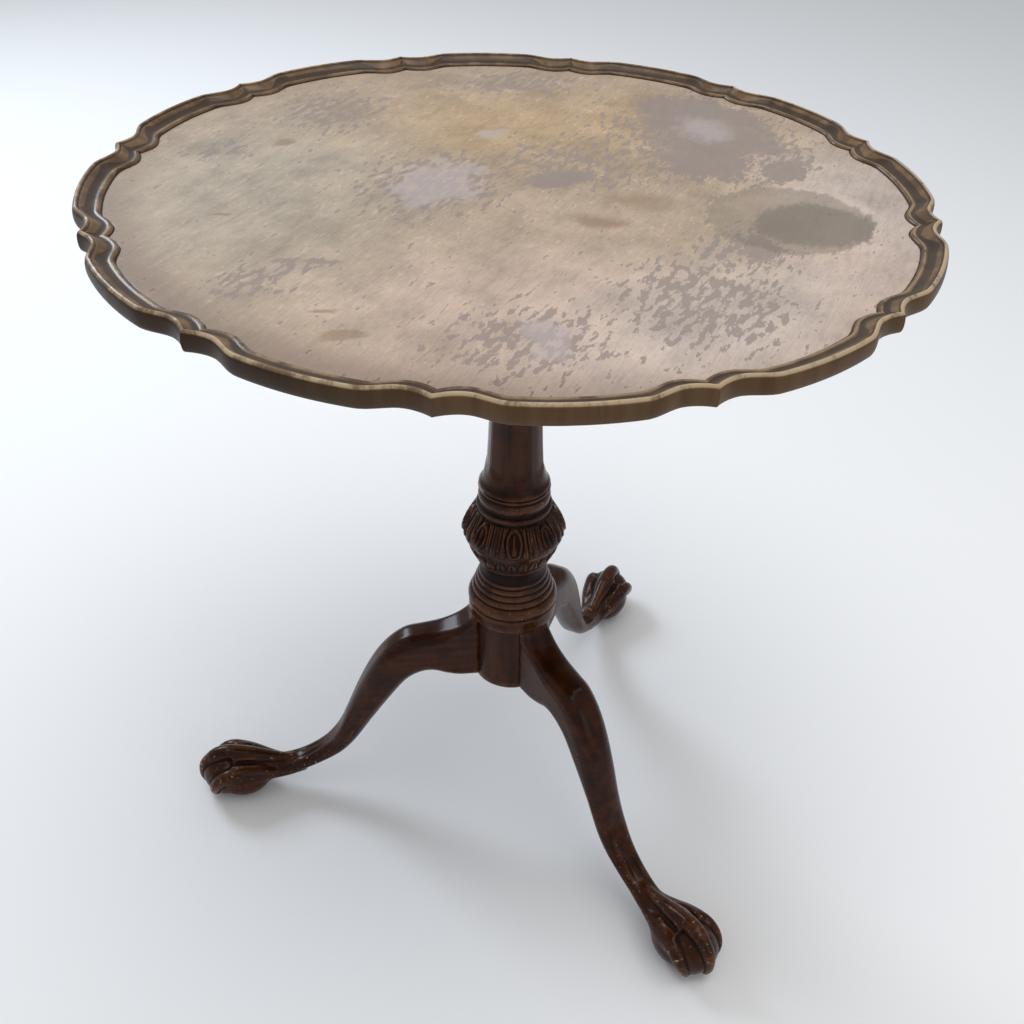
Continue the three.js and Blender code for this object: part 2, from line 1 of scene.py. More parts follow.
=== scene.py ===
"""Tilt-top tea table: the visual model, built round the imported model.

The top is a dished board with a scalloped moulded rim. It stands on a turned,
fluted and carved pillar with three cabriole legs on claw and ball feet.
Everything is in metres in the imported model's frame: +Z up, floor at zero.
"""

import logging
import math
from dataclasses import dataclass
from enum import Enum
from typing import Any, Callable, Iterable, Sequence

import bpy
import numpy as np
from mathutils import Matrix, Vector


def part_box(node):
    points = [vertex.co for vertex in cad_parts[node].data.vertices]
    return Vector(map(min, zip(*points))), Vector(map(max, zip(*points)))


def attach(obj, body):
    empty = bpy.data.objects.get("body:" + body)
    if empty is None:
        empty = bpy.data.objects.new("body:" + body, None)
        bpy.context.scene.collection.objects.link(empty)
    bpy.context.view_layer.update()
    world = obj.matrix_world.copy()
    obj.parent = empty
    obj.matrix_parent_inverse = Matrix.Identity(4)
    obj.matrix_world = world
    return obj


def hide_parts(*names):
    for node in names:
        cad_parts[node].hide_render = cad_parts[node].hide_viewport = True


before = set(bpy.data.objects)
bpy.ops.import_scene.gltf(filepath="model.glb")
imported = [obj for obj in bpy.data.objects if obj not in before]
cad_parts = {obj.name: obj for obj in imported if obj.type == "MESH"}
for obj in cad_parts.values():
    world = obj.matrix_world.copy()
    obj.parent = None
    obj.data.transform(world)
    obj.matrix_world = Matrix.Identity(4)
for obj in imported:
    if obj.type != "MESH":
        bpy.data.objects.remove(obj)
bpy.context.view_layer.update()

MM = 0.001
TURN = 2 * math.pi

logging.basicConfig(level=logging.INFO, format="%(levelname)s %(message)s")
log = logging.getLogger("table")

Colour = tuple[float, float, float, float]
Value = Any


class Body(str, Enum):
    """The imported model's bodies that built pieces ride on."""

    STAND = "stand"
    TOP = "top"


class Slot(str, Enum):
    """The record's material slots; the screws each carry one, but nothing reads it."""

    TOP_WOOD = "top_wood"
    MAHOGANY = "mahogany"
    IRON = "iron"
    BRASS = "brass"


# ------------------------------------------------------------ node helpers


def plug(tree: bpy.types.NodeTree, socket: bpy.types.NodeSocket, value: Value) -> None:
    """Links a wire to a socket, or sets the socket's own value.

    Args:
        tree: The node tree that owns the socket.
        socket: The input to feed.
        value: A Wire, a plain value, or None to leave the socket alone.
    """
    if isinstance(value, Wire):
        tree.links.new(value.socket, socket)
    elif value is not None:
        socket.default_value = value


def operator(operation: str, reflected: bool = False) -> Callable[["Wire", Value], "Wire"]:
    """Makes the method behind one arithmetic operator of a Wire.

    Args:
        operation: The Math node's operation.
        reflected: Whether the wire is the second of the two values.

    Returns:
        The method.
    """

    def method(self: "Wire", other: Value) -> "Wire":
        """Joins the wire and another value."""
        return self.math(operation, *((other, self) if reflected else (self, other)))

    return method


class Wire:
    """One output socket with arithmetic: an expression on wires adds Math nodes."""

    __add__ = operator("ADD")
    __radd__ = operator("ADD", reflected=True)
    __sub__ = operator("SUBTRACT")
    __rsub__ = operator("SUBTRACT", reflected=True)
    __mul__ = operator("MULTIPLY")
    __rmul__ = operator("MULTIPLY", reflected=True)
    __truediv__ = operator("DIVIDE")
    __pow__ = operator("POWER")

    def __init__(self, tree: bpy.types.NodeTree, socket: bpy.types.NodeSocket) -> None:
        """Keeps the tree and the socket."""
        self.tree = tree
        self.socket = socket

    def math(self, operation: str, *values: Value, clamp: bool = False) -> "Wire":
        """Adds a Math node.

        Args:
            operation: The Math node's operation.
            values: All of its inputs in order.
            clamp: Whether the result is held between 0 and 1.

        Returns:
            The node's output.
        """
        node = self.tree.nodes.new("ShaderNodeMath")
        node.operation = operation
        node.use_clamp = clamp
        for socket, value in zip(node.inputs, values):
            plug(self.tree, socket, value)
        return Wire(self.tree, node.outputs[0])

    def __abs__(self) -> "Wire":
        """Size without its sign."""
        return self.math("ABSOLUTE", self)

    def clamped(self) -> "Wire":
        """The value held between 0 and 1."""
        return self.math("ADD", self, 0.0, clamp=True)

    def larger(self, other: Value) -> "Wire":
        """The larger of two values."""
        return self.math("MAXIMUM", self, other)

    def rise(self, low: Value, high: Value) -> "Wire":
        """A soft step.

        Args:
            low: Where the step leaves 0.
            high: Where it reaches 1; below low, the step falls instead.

        Returns:
            0 to 1.
        """
        node = self.tree.nodes.new("ShaderNodeMapRange")
        node.interpolation_type = "SMOOTHSTEP"
        falls = low > high
        plug(self.tree, node.inputs["Value"], self)
        node.inputs["From Min"].default_value = min(low, high)
        node.inputs["From Max"].default_value = max(low, high)
        node.inputs["To Min"].default_value = 1.0 if falls else 0.0
        node.inputs["To Max"].default_value = 0.0 if falls else 1.0
        return Wire(self.tree, node.outputs[0])


class Bench:
    """Adds nodes to one tree, for a material or for geometry."""

    def __init__(self, tree: bpy.types.NodeTree) -> None:
        """Keeps the tree."""
        self.tree = tree

    def node(
        self,
        kind: str,
        settings: dict[str, Value] | None = None,
        values: dict[str | int, Value] | None = None,
        output: str | int = 0,
    ) -> Wire:
        """Adds any node.

        Args:
            kind: The node's type.
            settings: Its properties, set first.
            values: What its sockets get, by name or number.
            output: Which output is wanted.

        Returns:
            That output.
        """
        made = self.tree.nodes.new(kind)
        for name, setting in (settings or {}).items():
            setattr(made, name, setting)
        for name, value in (values or {}).items():
            plug(self.tree, made.inputs[name], value)
        return Wire(self.tree, made.outputs[output])

    def vector(self, operation: str, *values: Value) -> Wire:
        """Adds a Vector Math node.

        Args:
            operation: Its operation.
            values: Its inputs in order.

        Returns:
            Its vector, or its number for a length.
        """
        return self.node(
            "ShaderNodeVectorMath",
            {"operation": operation},
            dict(enumerate(values)),
            "Value" if operation == "LENGTH" else "Vector",
        )

    def scaled(self, vector: Wire, factor: Value) -> Wire:
        """A vector or colour times a number."""
        return self.node(
            "ShaderNodeVectorMath", {"operation": "SCALE"}, {0: vector, "Scale": factor}
        )

    def mix(self, share: Value, first: Value, second: Value) -> Wire:
        """Mixes two colours.

        Args:
            share: How much of the second.
            first: One colour.
            second: The other colour.

        Returns:
            The mixed colour.
        """
        return self.node(
            "ShaderNodeMix", {"data_type": "RGBA"}, {0: share, 6: first, 7: second}, 2
        )

    def layered(self, base: Value, *coats: tuple[Value, Value]) -> Value:
        """Lays colours over a base, one after another.

        Args:
            base: The colour underneath.
            coats: The share and the colour of each coat.

        Returns:
            The final colour.
        """
        for share, colour in coats:
            base = self.mix(share, base, colour)
        return base

    def combined(self, **axes: Value) -> Wire:
        """A vector from its X, Y and Z; an axis that isn't given is zero."""
        return self.node("ShaderNodeCombineXYZ", None, axes)

    def noise(self, place: Wire, scale: float, detail: float = 2.0, rough: float = 0.5) -> Wire:
        """Noise from 0 to 1 about a middle of 0.5.

        Args:
            place: Where it is looked up.
            scale: Its frequency.
            detail: Its octaves.
            rough: How strong the fine octaves are.

        Returns:
            The value.
        """
        return self.node(
            "ShaderNodeTexNoise",
            {"noise_dimensions": "3D"},
            {"Vector": place, "Scale": scale, "Detail": detail, "Roughness": rough},
        )

    def mapped(
        self,
        place: Wire,
        scale: Sequence[float] = (1, 1, 1),
        turn: float = 0.0,
        move: Sequence[float] = (0, 0, 0),
        kind: str = "POINT",
    ) -> Wire:
        """Moves, turns and scales a place.

        Args:
            place: The place.
            scale: Scale on each axis.
            turn: Turn about Z in radians.
            move: Shift on each axis.
            kind: The Mapping node's type.

        Returns:
            The new place.
        """
        return self.node(
            "ShaderNodeMapping",
            {"vector_type": kind},
            {"Vector": place, "Location": move, "Rotation": (0, 0, turn), "Scale": scale},
        )

    def attribute(self, name: str, vector: bool = False) -> Wire:
        """A mesh attribute by name, as a number or a vector."""
        return self.node(
            "ShaderNodeAttribute", {"attribute_name": name}, None, "Vector" if vector else "Fac"
        )


class Paint(Bench):
    """A material with one Principled shader, built node by node."""

    def __init__(self, name: str) -> None:
        """Makes an empty material.

        Args:
            name: The material's name.
        """
        self.material = bpy.data.materials.new(name)
        self.material.use_nodes = True
        super().__init__(self.material.node_tree)
        self.tree.nodes.clear()
        self.shader = self.tree.nodes.new("ShaderNodeBsdfPrincipled")
        out = self.tree.nodes.new("ShaderNodeOutputMaterial")
        self.tree.links.new(self.shader.outputs[0], out.inputs["Surface"])

    def place(self) -> Wire:
        """The point on the object, in millimetres."""
        spot = self.node("ShaderNodeTexCoord", None, None, "Object")
        return self.vector("MULTIPLY", spot, (1 / MM, 1 / MM, 1 / MM))

    def parts(self, vector: Wire) -> tuple[Wire, Wire, Wire]:
        """The three numbers of a vector."""
        node = self.tree.nodes.new("ShaderNodeSeparateXYZ")
        plug(self.tree, node.inputs[0], vector)
        return tuple(Wire(self.tree, socket) for socket in node.outputs)

    def bump(self, height: Wire, depth: float, strength: float = 1.0) -> Wire:
        """A normal from a height.

        Args:
            height: Height from 0 to 1.
            depth: What 1 stands for, in metres.
            strength: How much of it is felt.

        Returns:
            The normal.
        """
        return self.node(
            "ShaderNodeBump", None, {"Height": height, "Distance": depth, "Strength": strength}
        )

    def finish(self, **inputs: Value) -> bpy.types.Material:
        """Feeds the shader and hands over the material.

        Args:
            inputs: Socket values, with _ for each space in a name.

        Returns:
            The material.
        """
        for name, value in inputs.items():
            plug(self.tree, self.shader.inputs[name.replace("_", " ")], value)
        return self.material


# ------------------------------------------------------------ mesh helpers


def plain_mesh(name: str, points: np.ndarray, faces: Sequence[Sequence[int]]) -> bpy.types.Mesh:
    """Makes a mesh from points and faces.

    Args:
        name: The mesh's name.
        points: Corners in metres, one row each.
        faces: Corner numbers of each face, or a whole array of them.

    Returns:
        The mesh.
    """
    mesh = bpy.data.meshes.new(name)
    rows = faces.tolist() if isinstance(faces, np.ndarray) else faces
    mesh.from_pydata(np.asarray(points).tolist(), [], rows)
    mesh.update()
    return mesh


def store(mesh: bpy.types.Mesh, name: str, values: np.ndarray) -> None:
    """Writes a number or a vector for each corner of a mesh.

    Args:
        mesh: The mesh.
        name: The attribute's name.
        values: One row for each corner.
    """
    values = np.asarray(values, np.float32)
    kind, key = ("FLOAT_VECTOR", "vector") if values.ndim == 2 else ("FLOAT", "value")
    mesh.attributes.new(name, kind, "POINT").data.foreach_set(key, values.ravel())


def corners(mesh: bpy.types.Mesh) -> np.ndarray:
    """The corners of a mesh in metres, one row each."""
    flat = np.zeros(len(mesh.vertices) * 3, np.float32)
    mesh.vertices.foreach_get("co", flat)
    return flat.reshape(-1, 3).astype(float)


def edge_pairs(mesh: bpy.types.Mesh) -> np.ndarray:
    """The two corner numbers of each edge."""
    flat = np.zeros(len(mesh.edges) * 2, np.int32)
    mesh.edges.foreach_get("vertices", flat)
    return flat.reshape(-1, 2)


def spread(values: np.ndarray, pairs: np.ndarray, rounds: int) -> np.ndarray:
    """Averages values over neighbouring corners.

    Args:
        values: One row for each corner.
        pairs: The mesh's edges.
        rounds: How many times.

    Returns:
        The smoothed values.
    """
    count = np.bincount(pairs.ravel(), minlength=len(values)).astype(float)
    shape = (-1,) + (1,) * (values.ndim - 1)
    for _ in range(rounds):
        total = np.zeros_like(values)
        np.add.at(total, pairs[:, 0], values[pairs[:, 1]])
        np.add.at(total, pairs[:, 1], values[pairs[:, 0]])
        values = 0.5 * values + 0.5 * total / np.maximum(count, 1).reshape(shape)
    return values


def mark_ridges(mesh: bpy.types.Mesh, reach: float, rounds: int = 3) -> None:
    """Stores "ridge": above 0.5 on outward edges, below it in hollows.

    Args:
        mesh: The mesh.
        reach: The height of a ridge, in metres, that counts as a sharp one.
        rounds: How far the measure is spread.
    """
    points = corners(mesh)
    pairs = edge_pairs(mesh)
    normals = np.zeros(len(mesh.vertices) * 3, np.float32)
    mesh.vertex_normals.foreach_get("vector", normals)
    smooth = spread(points, pairs, rounds)
    height = np.einsum("ij,ij->i", points - smooth, normals.reshape(-1, 3))
    height = spread(height, pairs, 1)
    store(mesh, "ridge", np.clip(0.5 + height / reach, 0, 1))


def soften(mesh: bpy.types.Mesh, sharp: float = 32.0) -> None:
    """Shades a mesh smooth, except over edges sharper than an angle in degrees."""
    mesh.shade_smooth()
    mesh.set_sharp_from_angle(angle=math.radians(sharp))


def put(
    mesh: bpy.types.Mesh,
    body: Body,
    paint: bpy.types.Material,
    stands_for: Iterable[str],
) -> bpy.types.Object:
    """Places a finished mesh as one piece of the table.

    Args:
        mesh: The mesh, in place.
        body: The body it moves with.
        paint: Its material.
        stands_for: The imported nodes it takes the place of.

    Returns:
        The piece.
    """
    piece = bpy.data.objects.new(mesh.name, mesh)
    bpy.context.scene.collection.objects.link(piece)
    mesh.materials.clear()
    mesh.materials.append(paint)
    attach(piece, body.value)
    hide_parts(*stands_for)
    log.info("%s: %d faces", mesh.name, len(mesh.polygons))
    return piece


def refinish(node: str, paint: bpy.types.Material) -> None:
    """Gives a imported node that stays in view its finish."""
    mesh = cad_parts[node].data
    mesh.materials.clear()
    mesh.materials.append(paint)
    log.info("%s: refinished", node)


def rule_tree(name: str, inputs: dict[str, str]) -> tuple[Bench, dict[str, Wire]]:
    """Starts a Geometry Nodes tree.

    Args:
        name: The tree's name.
        inputs: The type of each named input after the geometry.

    Returns:
        The bench to add nodes on, and the inputs as wires by name.
    """
    tree = bpy.data.node_groups.new(name, "GeometryNodeTree")
    tree.interface.new_socket("Geometry", in_out="INPUT", socket_type="NodeSocketGeometry")
    for label, kind in inputs.items():
        tree.interface.new_socket(label, in_out="INPUT", socket_type=kind)
    tree.interface.new_socket("Geometry", in_out="OUTPUT", socket_type="NodeSocketGeometry")
    start = tree.nodes.new("NodeGroupInput")
    wires = {label: Wire(tree, start.outputs[label]) for label in ("Geometry", *inputs)}
    return Bench(tree), wires


def close_tree(bench: Bench, shape: Wire, paint: bpy.types.Material) -> bpy.types.NodeTree:
    """Ends a Geometry Nodes tree in Realize Instances and Set Material.

    Args:
        bench: The tree's bench.
        shape: The geometry so far.
        paint: The material.

    Returns:
        The tree.
    """
    real = bench.node("GeometryNodeRealizeInstances", None, {0: shape})
    dressed = bench.node(
        "GeometryNodeSetMaterial", None, {"Geometry": real, "Material": paint}
    )
    end = bench.tree.nodes.new("NodeGroupOutput")
    plug(bench.tree, end.inputs[0], dressed)
    return bench.tree


def grow(
    name: str, start: bpy.types.Mesh, tree: bpy.types.NodeTree, sizes: dict[str, Value]
) -> bpy.types.Mesh:
    """Runs a Geometry Nodes tree on a mesh.

    Args:
        name: The result's name.
        start: What the tree starts from.
        tree: The tree.
        sizes: The value of each of its named inputs.

    Returns:
        The plain mesh it makes.
    """
    holder = bpy.data.objects.new(name + "_rule", start)
    bpy.context.scene.collection.objects.link(holder)
    modifier = holder.modifiers.new("rule", "NODES")
    modifier.node_group = tree
    for item in tree.interface.items_tree:
        if item.in_out == "INPUT" and item.name in sizes:
            modifier[item.identifier] = sizes[item.name]
    bpy.context.view_layer.update()
    view = bpy.context.evaluated_depsgraph_get()
    mesh = bpy.data.meshes.new_from_object(
        holder.evaluated_get(view), preserve_all_data_layers=True, depsgraph=view
    )
    holder.modifiers.clear()
    bpy.data.objects.remove(holder)
    mesh.name = name
    return mesh


# ------------------------------------------------------------ the dished top


@dataclass
class DishedTop:
    """The round board with its scalloped moulded rim, one lobe repeated round it.

    Sizes are in metres. Swell, hollow and crown are shares of the radius, and the
    tip and the swell end at so many degrees from the nearer cusp.
    """

    radius: float = 0.340
    lobes: int = 12
    first_cusp: float = math.radians(15.6)
    hollow: float = 0.018
    swell: float = 0.0095
    crown: float = 0.0025
    tip_end: float = 3.3
    swell_end: float = 8.2
    under: float = 0.696
    crest: float = 0.713
    field_depth: float = 0.008
    columns: int = 48
    crowding: float = 0.55

    def section(self) -> list[tuple[float, float, float]]:
        """The board's section from the middle of its underside round to the field.

        Returns:
            Inset from the outline and height in millimetres, and the share of the
            way out from the middle.
        """
        low = self.under / MM
        high = self.crest / MM
        flat = high - self.field_depth / MM
        wall = [
            (7.0, low), (5.0, low + 0.12), (3.4, low + 0.5), (2.2, low + 1.15),
            (1.3, low + 2.1), (0.7, low + 3.3), (0.3, low + 4.8), (0.1, low + 6.4),
            (0.0, low + 8.2), (0.05, low + 10.0), (0.2, low + 12.0), (0.35, low + 13.2),
            (0.7, low + 14.4), (1.2, low + 15.5), (1.9, low + 16.4),
        ]
        crest = [
            (2.7, high - 0.12), (3.5, high - 0.1), (4.1, high - 0.45), (4.5, high - 1.0),
            (4.7, high - 1.7), (5.1, high - 2.05), (5.7, high - 2.05), (6.4, high - 2.1),
        ]
        cove = [
            (7.4, high - 2.6), (8.5, high - 3.35), (9.7, high - 4.2), (11.0, high - 5.0),
            (12.4, high - 5.65), (13.8, high - 6.0), (15.0, high - 6.1), (15.8, high - 6.0),
            (16.5, high - 5.75), (17.3, high - 5.6), (18.2, high - 5.65), (19.0, high - 5.95),
            (19.6, high - 6.5), (20.0, high - 7.2),
        ]
        ledge = [(20.3, flat - 0.15), (20.6, flat - 0.3), (21.0, flat - 0.05), (21.8, flat)]
        rim = [(inset, level, 1.0) for inset, level in wall + crest + cove + ledge]
        shares = (0.985, 0.96, 0.92, 0.86, 0.78, 0.68, 0.56, 0.42, 0.26, 0.12, 0.0)
        field = [(ledge[-1][0], flat, share) for share in shares]
        below = [(wall[0][0], low, share) for share in shares]
        return list(reversed(below)) + rim + field

    def sector(self) -> bpy.types.Mesh:
        """One lobe's grid, carrying what the rule needs at each corner."""
        section = np.array(self.section())
        # columns crowd towards the cusps, where the outline turns fastest
        step = np.linspace(0, 1, self.columns + 1)
        share = step - self.crowding * np.sin(TURN * step) / TURN
        rows, columns = len(section), len(share)
        points = np.zeros((rows, columns, 3))
        points[:, :, 0] = np.arange(rows)[:, None] * MM
        points[:, :, 1] = share[None, :]
        number = np.arange(rows * columns).reshape(rows, columns)
        faces = np.stack(
            [number[:-1, :-1], number[:-1, 1:], number[1:, 1:], number[1:, :-1]], axis=-1
        ).reshape(-1, 4)
        mesh = plain_mesh("lobe", points.reshape(-1, 3), faces)
        store(mesh, "share", np.tile(share, rows))
        store(mesh, "inset", np.repeat(section[:, 0], columns))
        store(mesh, "level", np.repeat(section[:, 1], columns))
        store(mesh, "reach", np.repeat(section[:, 2], columns))
        return mesh

    def rule(self, paint: bpy.types.Material) -> bpy.types.NodeTree:
        """The tree that bends one lobe to the outline and repeats it round the top.

        Args:
            paint: The top's material.

        Returns:
            The tree.
        """
        bench, given = rule_tree(
            "scalloped_top",
            {
                "Radius": "NodeSocketFloat",
                "Lobes": "NodeSocketInt",
                "First cusp": "NodeSocketFloat",
                "Hollow": "NodeSocketFloat",
                "Swell": "NodeSocketFloat",
            },
        )

        def named(label: str) -> Wire:
            """A number stored on the lobe's corners."""
            return bench.node(
                "GeometryNodeInputNamedAttribute", {"data_type": "FLOAT"}, {"Name": label}
            )

        share = named("share")
        # degrees from the nearer cusp, 0 at the cusp and half a lobe between two
        half_lobe = 180.0 / self.lobes
        fold = (0.5 - abs(share - 0.5)) * (2 * half_lobe)
        tip = (1.0 - fold / self.tip_end).clamped() ** 2.0
        rise = fold.rise(self.tip_end, self.swell_end)
        beyond = ((fold - self.swell_end) / (half_lobe - self.swell_end)).clamped()
        round_off = 1.0 - (1.0 - beyond) ** 2.0
        edge = 1.0 - given["Hollow"] + given["Hollow"] * tip
        edge = edge + (given["Hollow"] + given["Swell"] - self.crown) * rise
        edge = edge + self.crown * round_off
        reach = (edge * given["Radius"] - named("inset") * MM) * named("reach")
        angle = share * TURN / given["Lobes"] + given["First cusp"]
        spot = bench.combined(
            X=reach * angle.math("COSINE", angle),
            Y=reach * angle.math("SINE", angle),
            Z=named("level") * MM,
        )
        bent = bench.node(
            "GeometryNodeSetPosition", None, {"Geometry": given["Geometry"], "Position": spot}
        )
        places = bench.node("GeometryNodePoints", None, {"Count": given["Lobes"]})
        turn = bench.node("GeometryNodeInputIndex") * TURN / given["Lobes"]
        facing = bench.combined(Z=turn)
        lobes = bench.node(
            "GeometryNodeInstanceOnPoints",
            None,
            {"Points": places, "Instance": bent, "Rotation": facing},
        )
        whole = bench.node("GeometryNodeRealizeInstances", None, {0: lobes})
        closed = bench.node(
            "GeometryNodeMergeByDistance", None, {"Geometry": whole, "Distance": 0.01 * MM}
        )
        return close_tree(bench, closed, paint)

    def build(self, paint: bpy.types.Material) -> None:
        """Builds the top as one piece.

        Args:
            paint: The top's material.
        """
        sizes = {
            "Radius": self.radius,
            "Lobes": self.lobes,
            "First cusp": self.first_cusp,
            "Hollow": self.hollow,
            "Swell": self.swell,
        }
        mesh = grow("scalloped_top", self.sector(), self.rule(paint), sizes)
        soften(mesh, 30.0)
        mark_ridges(mesh, 0.5 * MM, 3)
        put(mesh, Body.TOP, paint, ["table_top"])


# ------------------------------------------------------------ the pillar


def smooth_step(value: np.ndarray, low: float, high: float) -> np.ndarray:
    """A soft step of an array from 0 at low to 1 at high."""
    t = np.clip((value - low) / (high - low), 0, 1)
    return t * t * (3 - 2 * t)


def bell(value: np.ndarray, width: float) -> np.ndarray:
    """A bell of an array, 1 at zero."""
    return np.exp(-((value / width) ** 2))


@dataclass
class CarvedPillar:
    """The turned pillar: drum, rings, carved urn, fluted shaft and tenon.

    The profile and every other size are in millimetres, as a turner's pattern is.
    """

    drum_radius: float = 40.0
    drum_bottom: float = 170.0
    shaft_foot: float = 413.0
    shoulder: float = 668.3
    tenon_top: float = 693.4
    tenon_radius: float = 16.0
    flutes: int = 8
    flute_depth: float = 1.6
    flute_phase: float = math.radians(27)
    leaves: int = 8
    leaf_phase: float = math.radians(-94.9)
    columns: int = 312
    carved_from: float = 329.0
    carved_to: float = 389.0
    carved_step: float = 0.8
    fluted_step: float = 1.7
    plain_step: float = 3.4

    def profile(self) -> np.ndarray:
        """Radius and height down the pillar's pattern, from the bottom up."""
        foot, shoulder = self.shaft_foot, self.shoulder
        drum = [
            (0, self.drum_bottom), (38.8, self.drum_bottom), (40, self.drum_bottom + 1.2),
            (self.drum_radius, 252), (self.drum_radius, 254), (44.6, 254.1), (45, 254.6),
            (45.3, 258), (45.3, 264), (45.2, 268.2), (44.6, 268.9), (43.6, 269.4),
            (43.3, 270.0), (43.6, 270.6),
        ]
        rings = [
            (44.6, 271), (45.5, 272), (46, 273.8), (45.9, 276), (45.2, 278.4), (44.1, 280.4),
            (42.8, 281.8), (41.5, 282.6), (41.3, 283.2), (41.7, 283.9), (41.9, 285.2),
            (41.3, 287.4), (40.4, 288.8), (39.0, 289.6), (38.7, 290.2), (39.1, 291.0),
            (39.2, 292.6), (38.9, 294.6), (38.2, 295.8), (37.0, 296.6), (36.7, 297.2),
            (37, 298), (36.9, 300), (36.3, 301.6), (35.0, 302.6), (34.6, 303.4), (34.9, 304.4),
            (35, 305.8), (34.6, 307.2),
        ]
        cove = [
            (33.7, 308.4), (33.3, 310.6), (33.2, 313.2), (33.6, 316.4), (34.4, 319.4),
            (35.6, 322.2), (36.8, 324.2), (37.6, 325.2), (37.9, 326.2), (37.7, 327.6),
            (38, 328.6),
        ]
        urn = [
            (39.2, 330.6), (40.8, 333.6), (42.6, 337.2), (44, 340.8), (44.8, 344.2),
            (45.1, 347), (45.9, 348.2), (46.8, 349.2), (47.1, 350.4), (47.6, 351.4),
            (49.2, 352.6), (50.4, 354.2), (50.9, 356.4), (50.7, 359), (50, 362),
            (48.8, 365.2), (47.2, 368.6), (45.3, 372), (43.2, 375.8), (41.1, 379.6),
            (39, 383), (37.6, 386.2), (37, 388.4),
        ]
        neck = [
            (37.3, 389.6), (37.4, 391), (36.6, 392), (35, 392.8), (34.5, 393.8), (34.5, 395.6),
            (34.9, 397.8), (35.4, 400), (35.5, 401.8), (35.1, 403.8), (34.2, 405.6),
            (33.3, 406.8), (33.2, 407.6), (33.9, 408.8), (34.9, 409.8), (35.4, 410.9),
            (35.2, 412.2), (34, 412.8),
        ]
        shaft = [
            (33.7, foot), (34.6, foot + 0.7), (34.9, foot + 1.6), (34.6, foot + 3),
            (33.6, foot + 4.4), (32.4, foot + 6.2), (31.2, foot + 9), (30.3, foot + 12),
            (29.4, foot + 15.5), (28.8, foot + 20), (28.3, foot + 27), (27.8, foot + 36),
            (27.3, foot + 45), (26.9, foot + 55), (26.45, foot + 67), (25.5, foot + 97),
            (24.5, foot + 137), (23.6, foot + 177), (23, shoulder - 42),
            (23.2, shoulder - 36.6),
        ]
        head = [
            (25.6, shoulder - 34.4), (26.8, shoulder - 33), (27.2, shoulder - 31.2),
            (26.6, shoulder - 29.4), (25, shoulder - 28), (23.4, shoulder - 26.4),
            (23, shoulder - 24), (23.6, shoulder - 19), (25, shoulder - 14),
            (27.6, shoulder - 9.6), (30, shoulder - 7), (30.9, shoulder - 6),
            (31, shoulder - 4), (31, shoulder - 0.4), (30.6, shoulder),
            (self.tenon_radius, shoulder), (self.tenon_radius, self.tenon_top - 1),
            (self.tenon_radius - 1, self.tenon_top), (0, self.tenon_top),
        ]
        return np.array(drum + rings + cove + urn + neck + shaft + head, float)

    def rows(self) -> np.ndarray:
        """The profile with rows added where it is long or carved."""
        pattern = self.profile()
        rows = [pattern[0]]
        for below, above in zip(pattern[:-1], pattern[1:]):
            carved = self.carved_from < (below[1] + above[1]) / 2 < self.carved_to
            fluted = self.shaft_foot + 6 < above[1] < self.shaft_foot + 45
            longest = self.plain_step
            if below[0] == 0 or above[0] == 0:
                longest = self.shoulder
            elif carved:
                longest = self.carved_step
            elif fluted:
                longest = self.fluted_step
            parts = max(1, math.ceil(np.hypot(*(above - below)) / longest))
            rows.extend(below + (above - below) * k / parts for k in range(1, parts + 1))
        return np.array(rows)

    def fluting(self, angle: np.ndarray, level: np.ndarray) -> np.ndarray:
        """How far the flutes cut in.

        Args:
            angle: The angle of each point.
            level: The height of each point.

        Returns:
            The depth at each point.
        """
        phase = ((angle - self.flute_phase) * self.flutes / TURN) % 1.0
        # each flute starts in a rounded mouth and stops in a rounded end
        swing = (2 * phase - 1) ** 2
        mouth = self.shaft_foot + 14.0 + 7.0 * swing
        start = smooth_step(level, mouth, mouth + 11.0)
        top = self.shoulder - 40 - 4 * swing
        stop = 1 - smooth_step(level, top - 3, top)
        hollow = np.sqrt(np.clip(1 - np.abs(2 * phase - 1) ** 2.4, 0, 1))
        # a fine line is scratched down the arris between two flutes
        shaft_radius, line_width, line_depth = 27, 0.75, 0.75
        beside = np.minimum(phase, 1 - phase) * TURN / self.flutes * shaft_radius
        line = line_depth * bell(beside, line_width)
        return start * stop * (self.flute_depth * hollow + line)

    def leafage(self, angle: np.ndarray, level: np.ndarray) -> np.ndarray:
        """The carving on the urn and on the band beneath it.

        Args:
            angle: The angle of each point.
            level: The height of each point.

        Returns:
            How far the carving stands out, negative where it is cut in.
        """
        turn = (angle - self.leaf_phase) * self.leaves / TURN
        side = (turn + 0.5) % 1.0 - 0.5
        odd = np.floor(turn + 0.5) % 2
        widest, tapering = 47, 0.26
        radius = widest - tapering * np.clip(level - 354, 0, 36)
        across = side * TURN / self.leaves * radius
        urn_foot, urn_height = 353.0, 34.0
        up = (level - urn_foot) / urn_height
        # long tongues that splay away from each scroll, ending one below another
        lane_width, last_lane = 5.6, 2.999
        splay = np.abs(across) - 5.2 - 3.0 * (1 - up)
        lane = np.clip(splay / lane_width, 0, last_lane)
        share = 2 * (lane % 1.0) - 1
        stop = 0.04 + 0.20 * ((np.floor(lane) + odd) % 2) + 0.14 * share**2
        tongue = 2.6 * np.sqrt(np.clip(1 - share**2, 0, 1)) - 1.0 * bell(share, 0.18)
        tongue *= 0.45 + 0.55 * smooth_step(up, stop, stop + 0.4)
        length = smooth_step(up, stop, stop + 0.06) * (1 - smooth_step(up, 0.90, 0.99))
        out = -1.1 + tongue * length * smooth_step(splay, -0.3, 0.4)
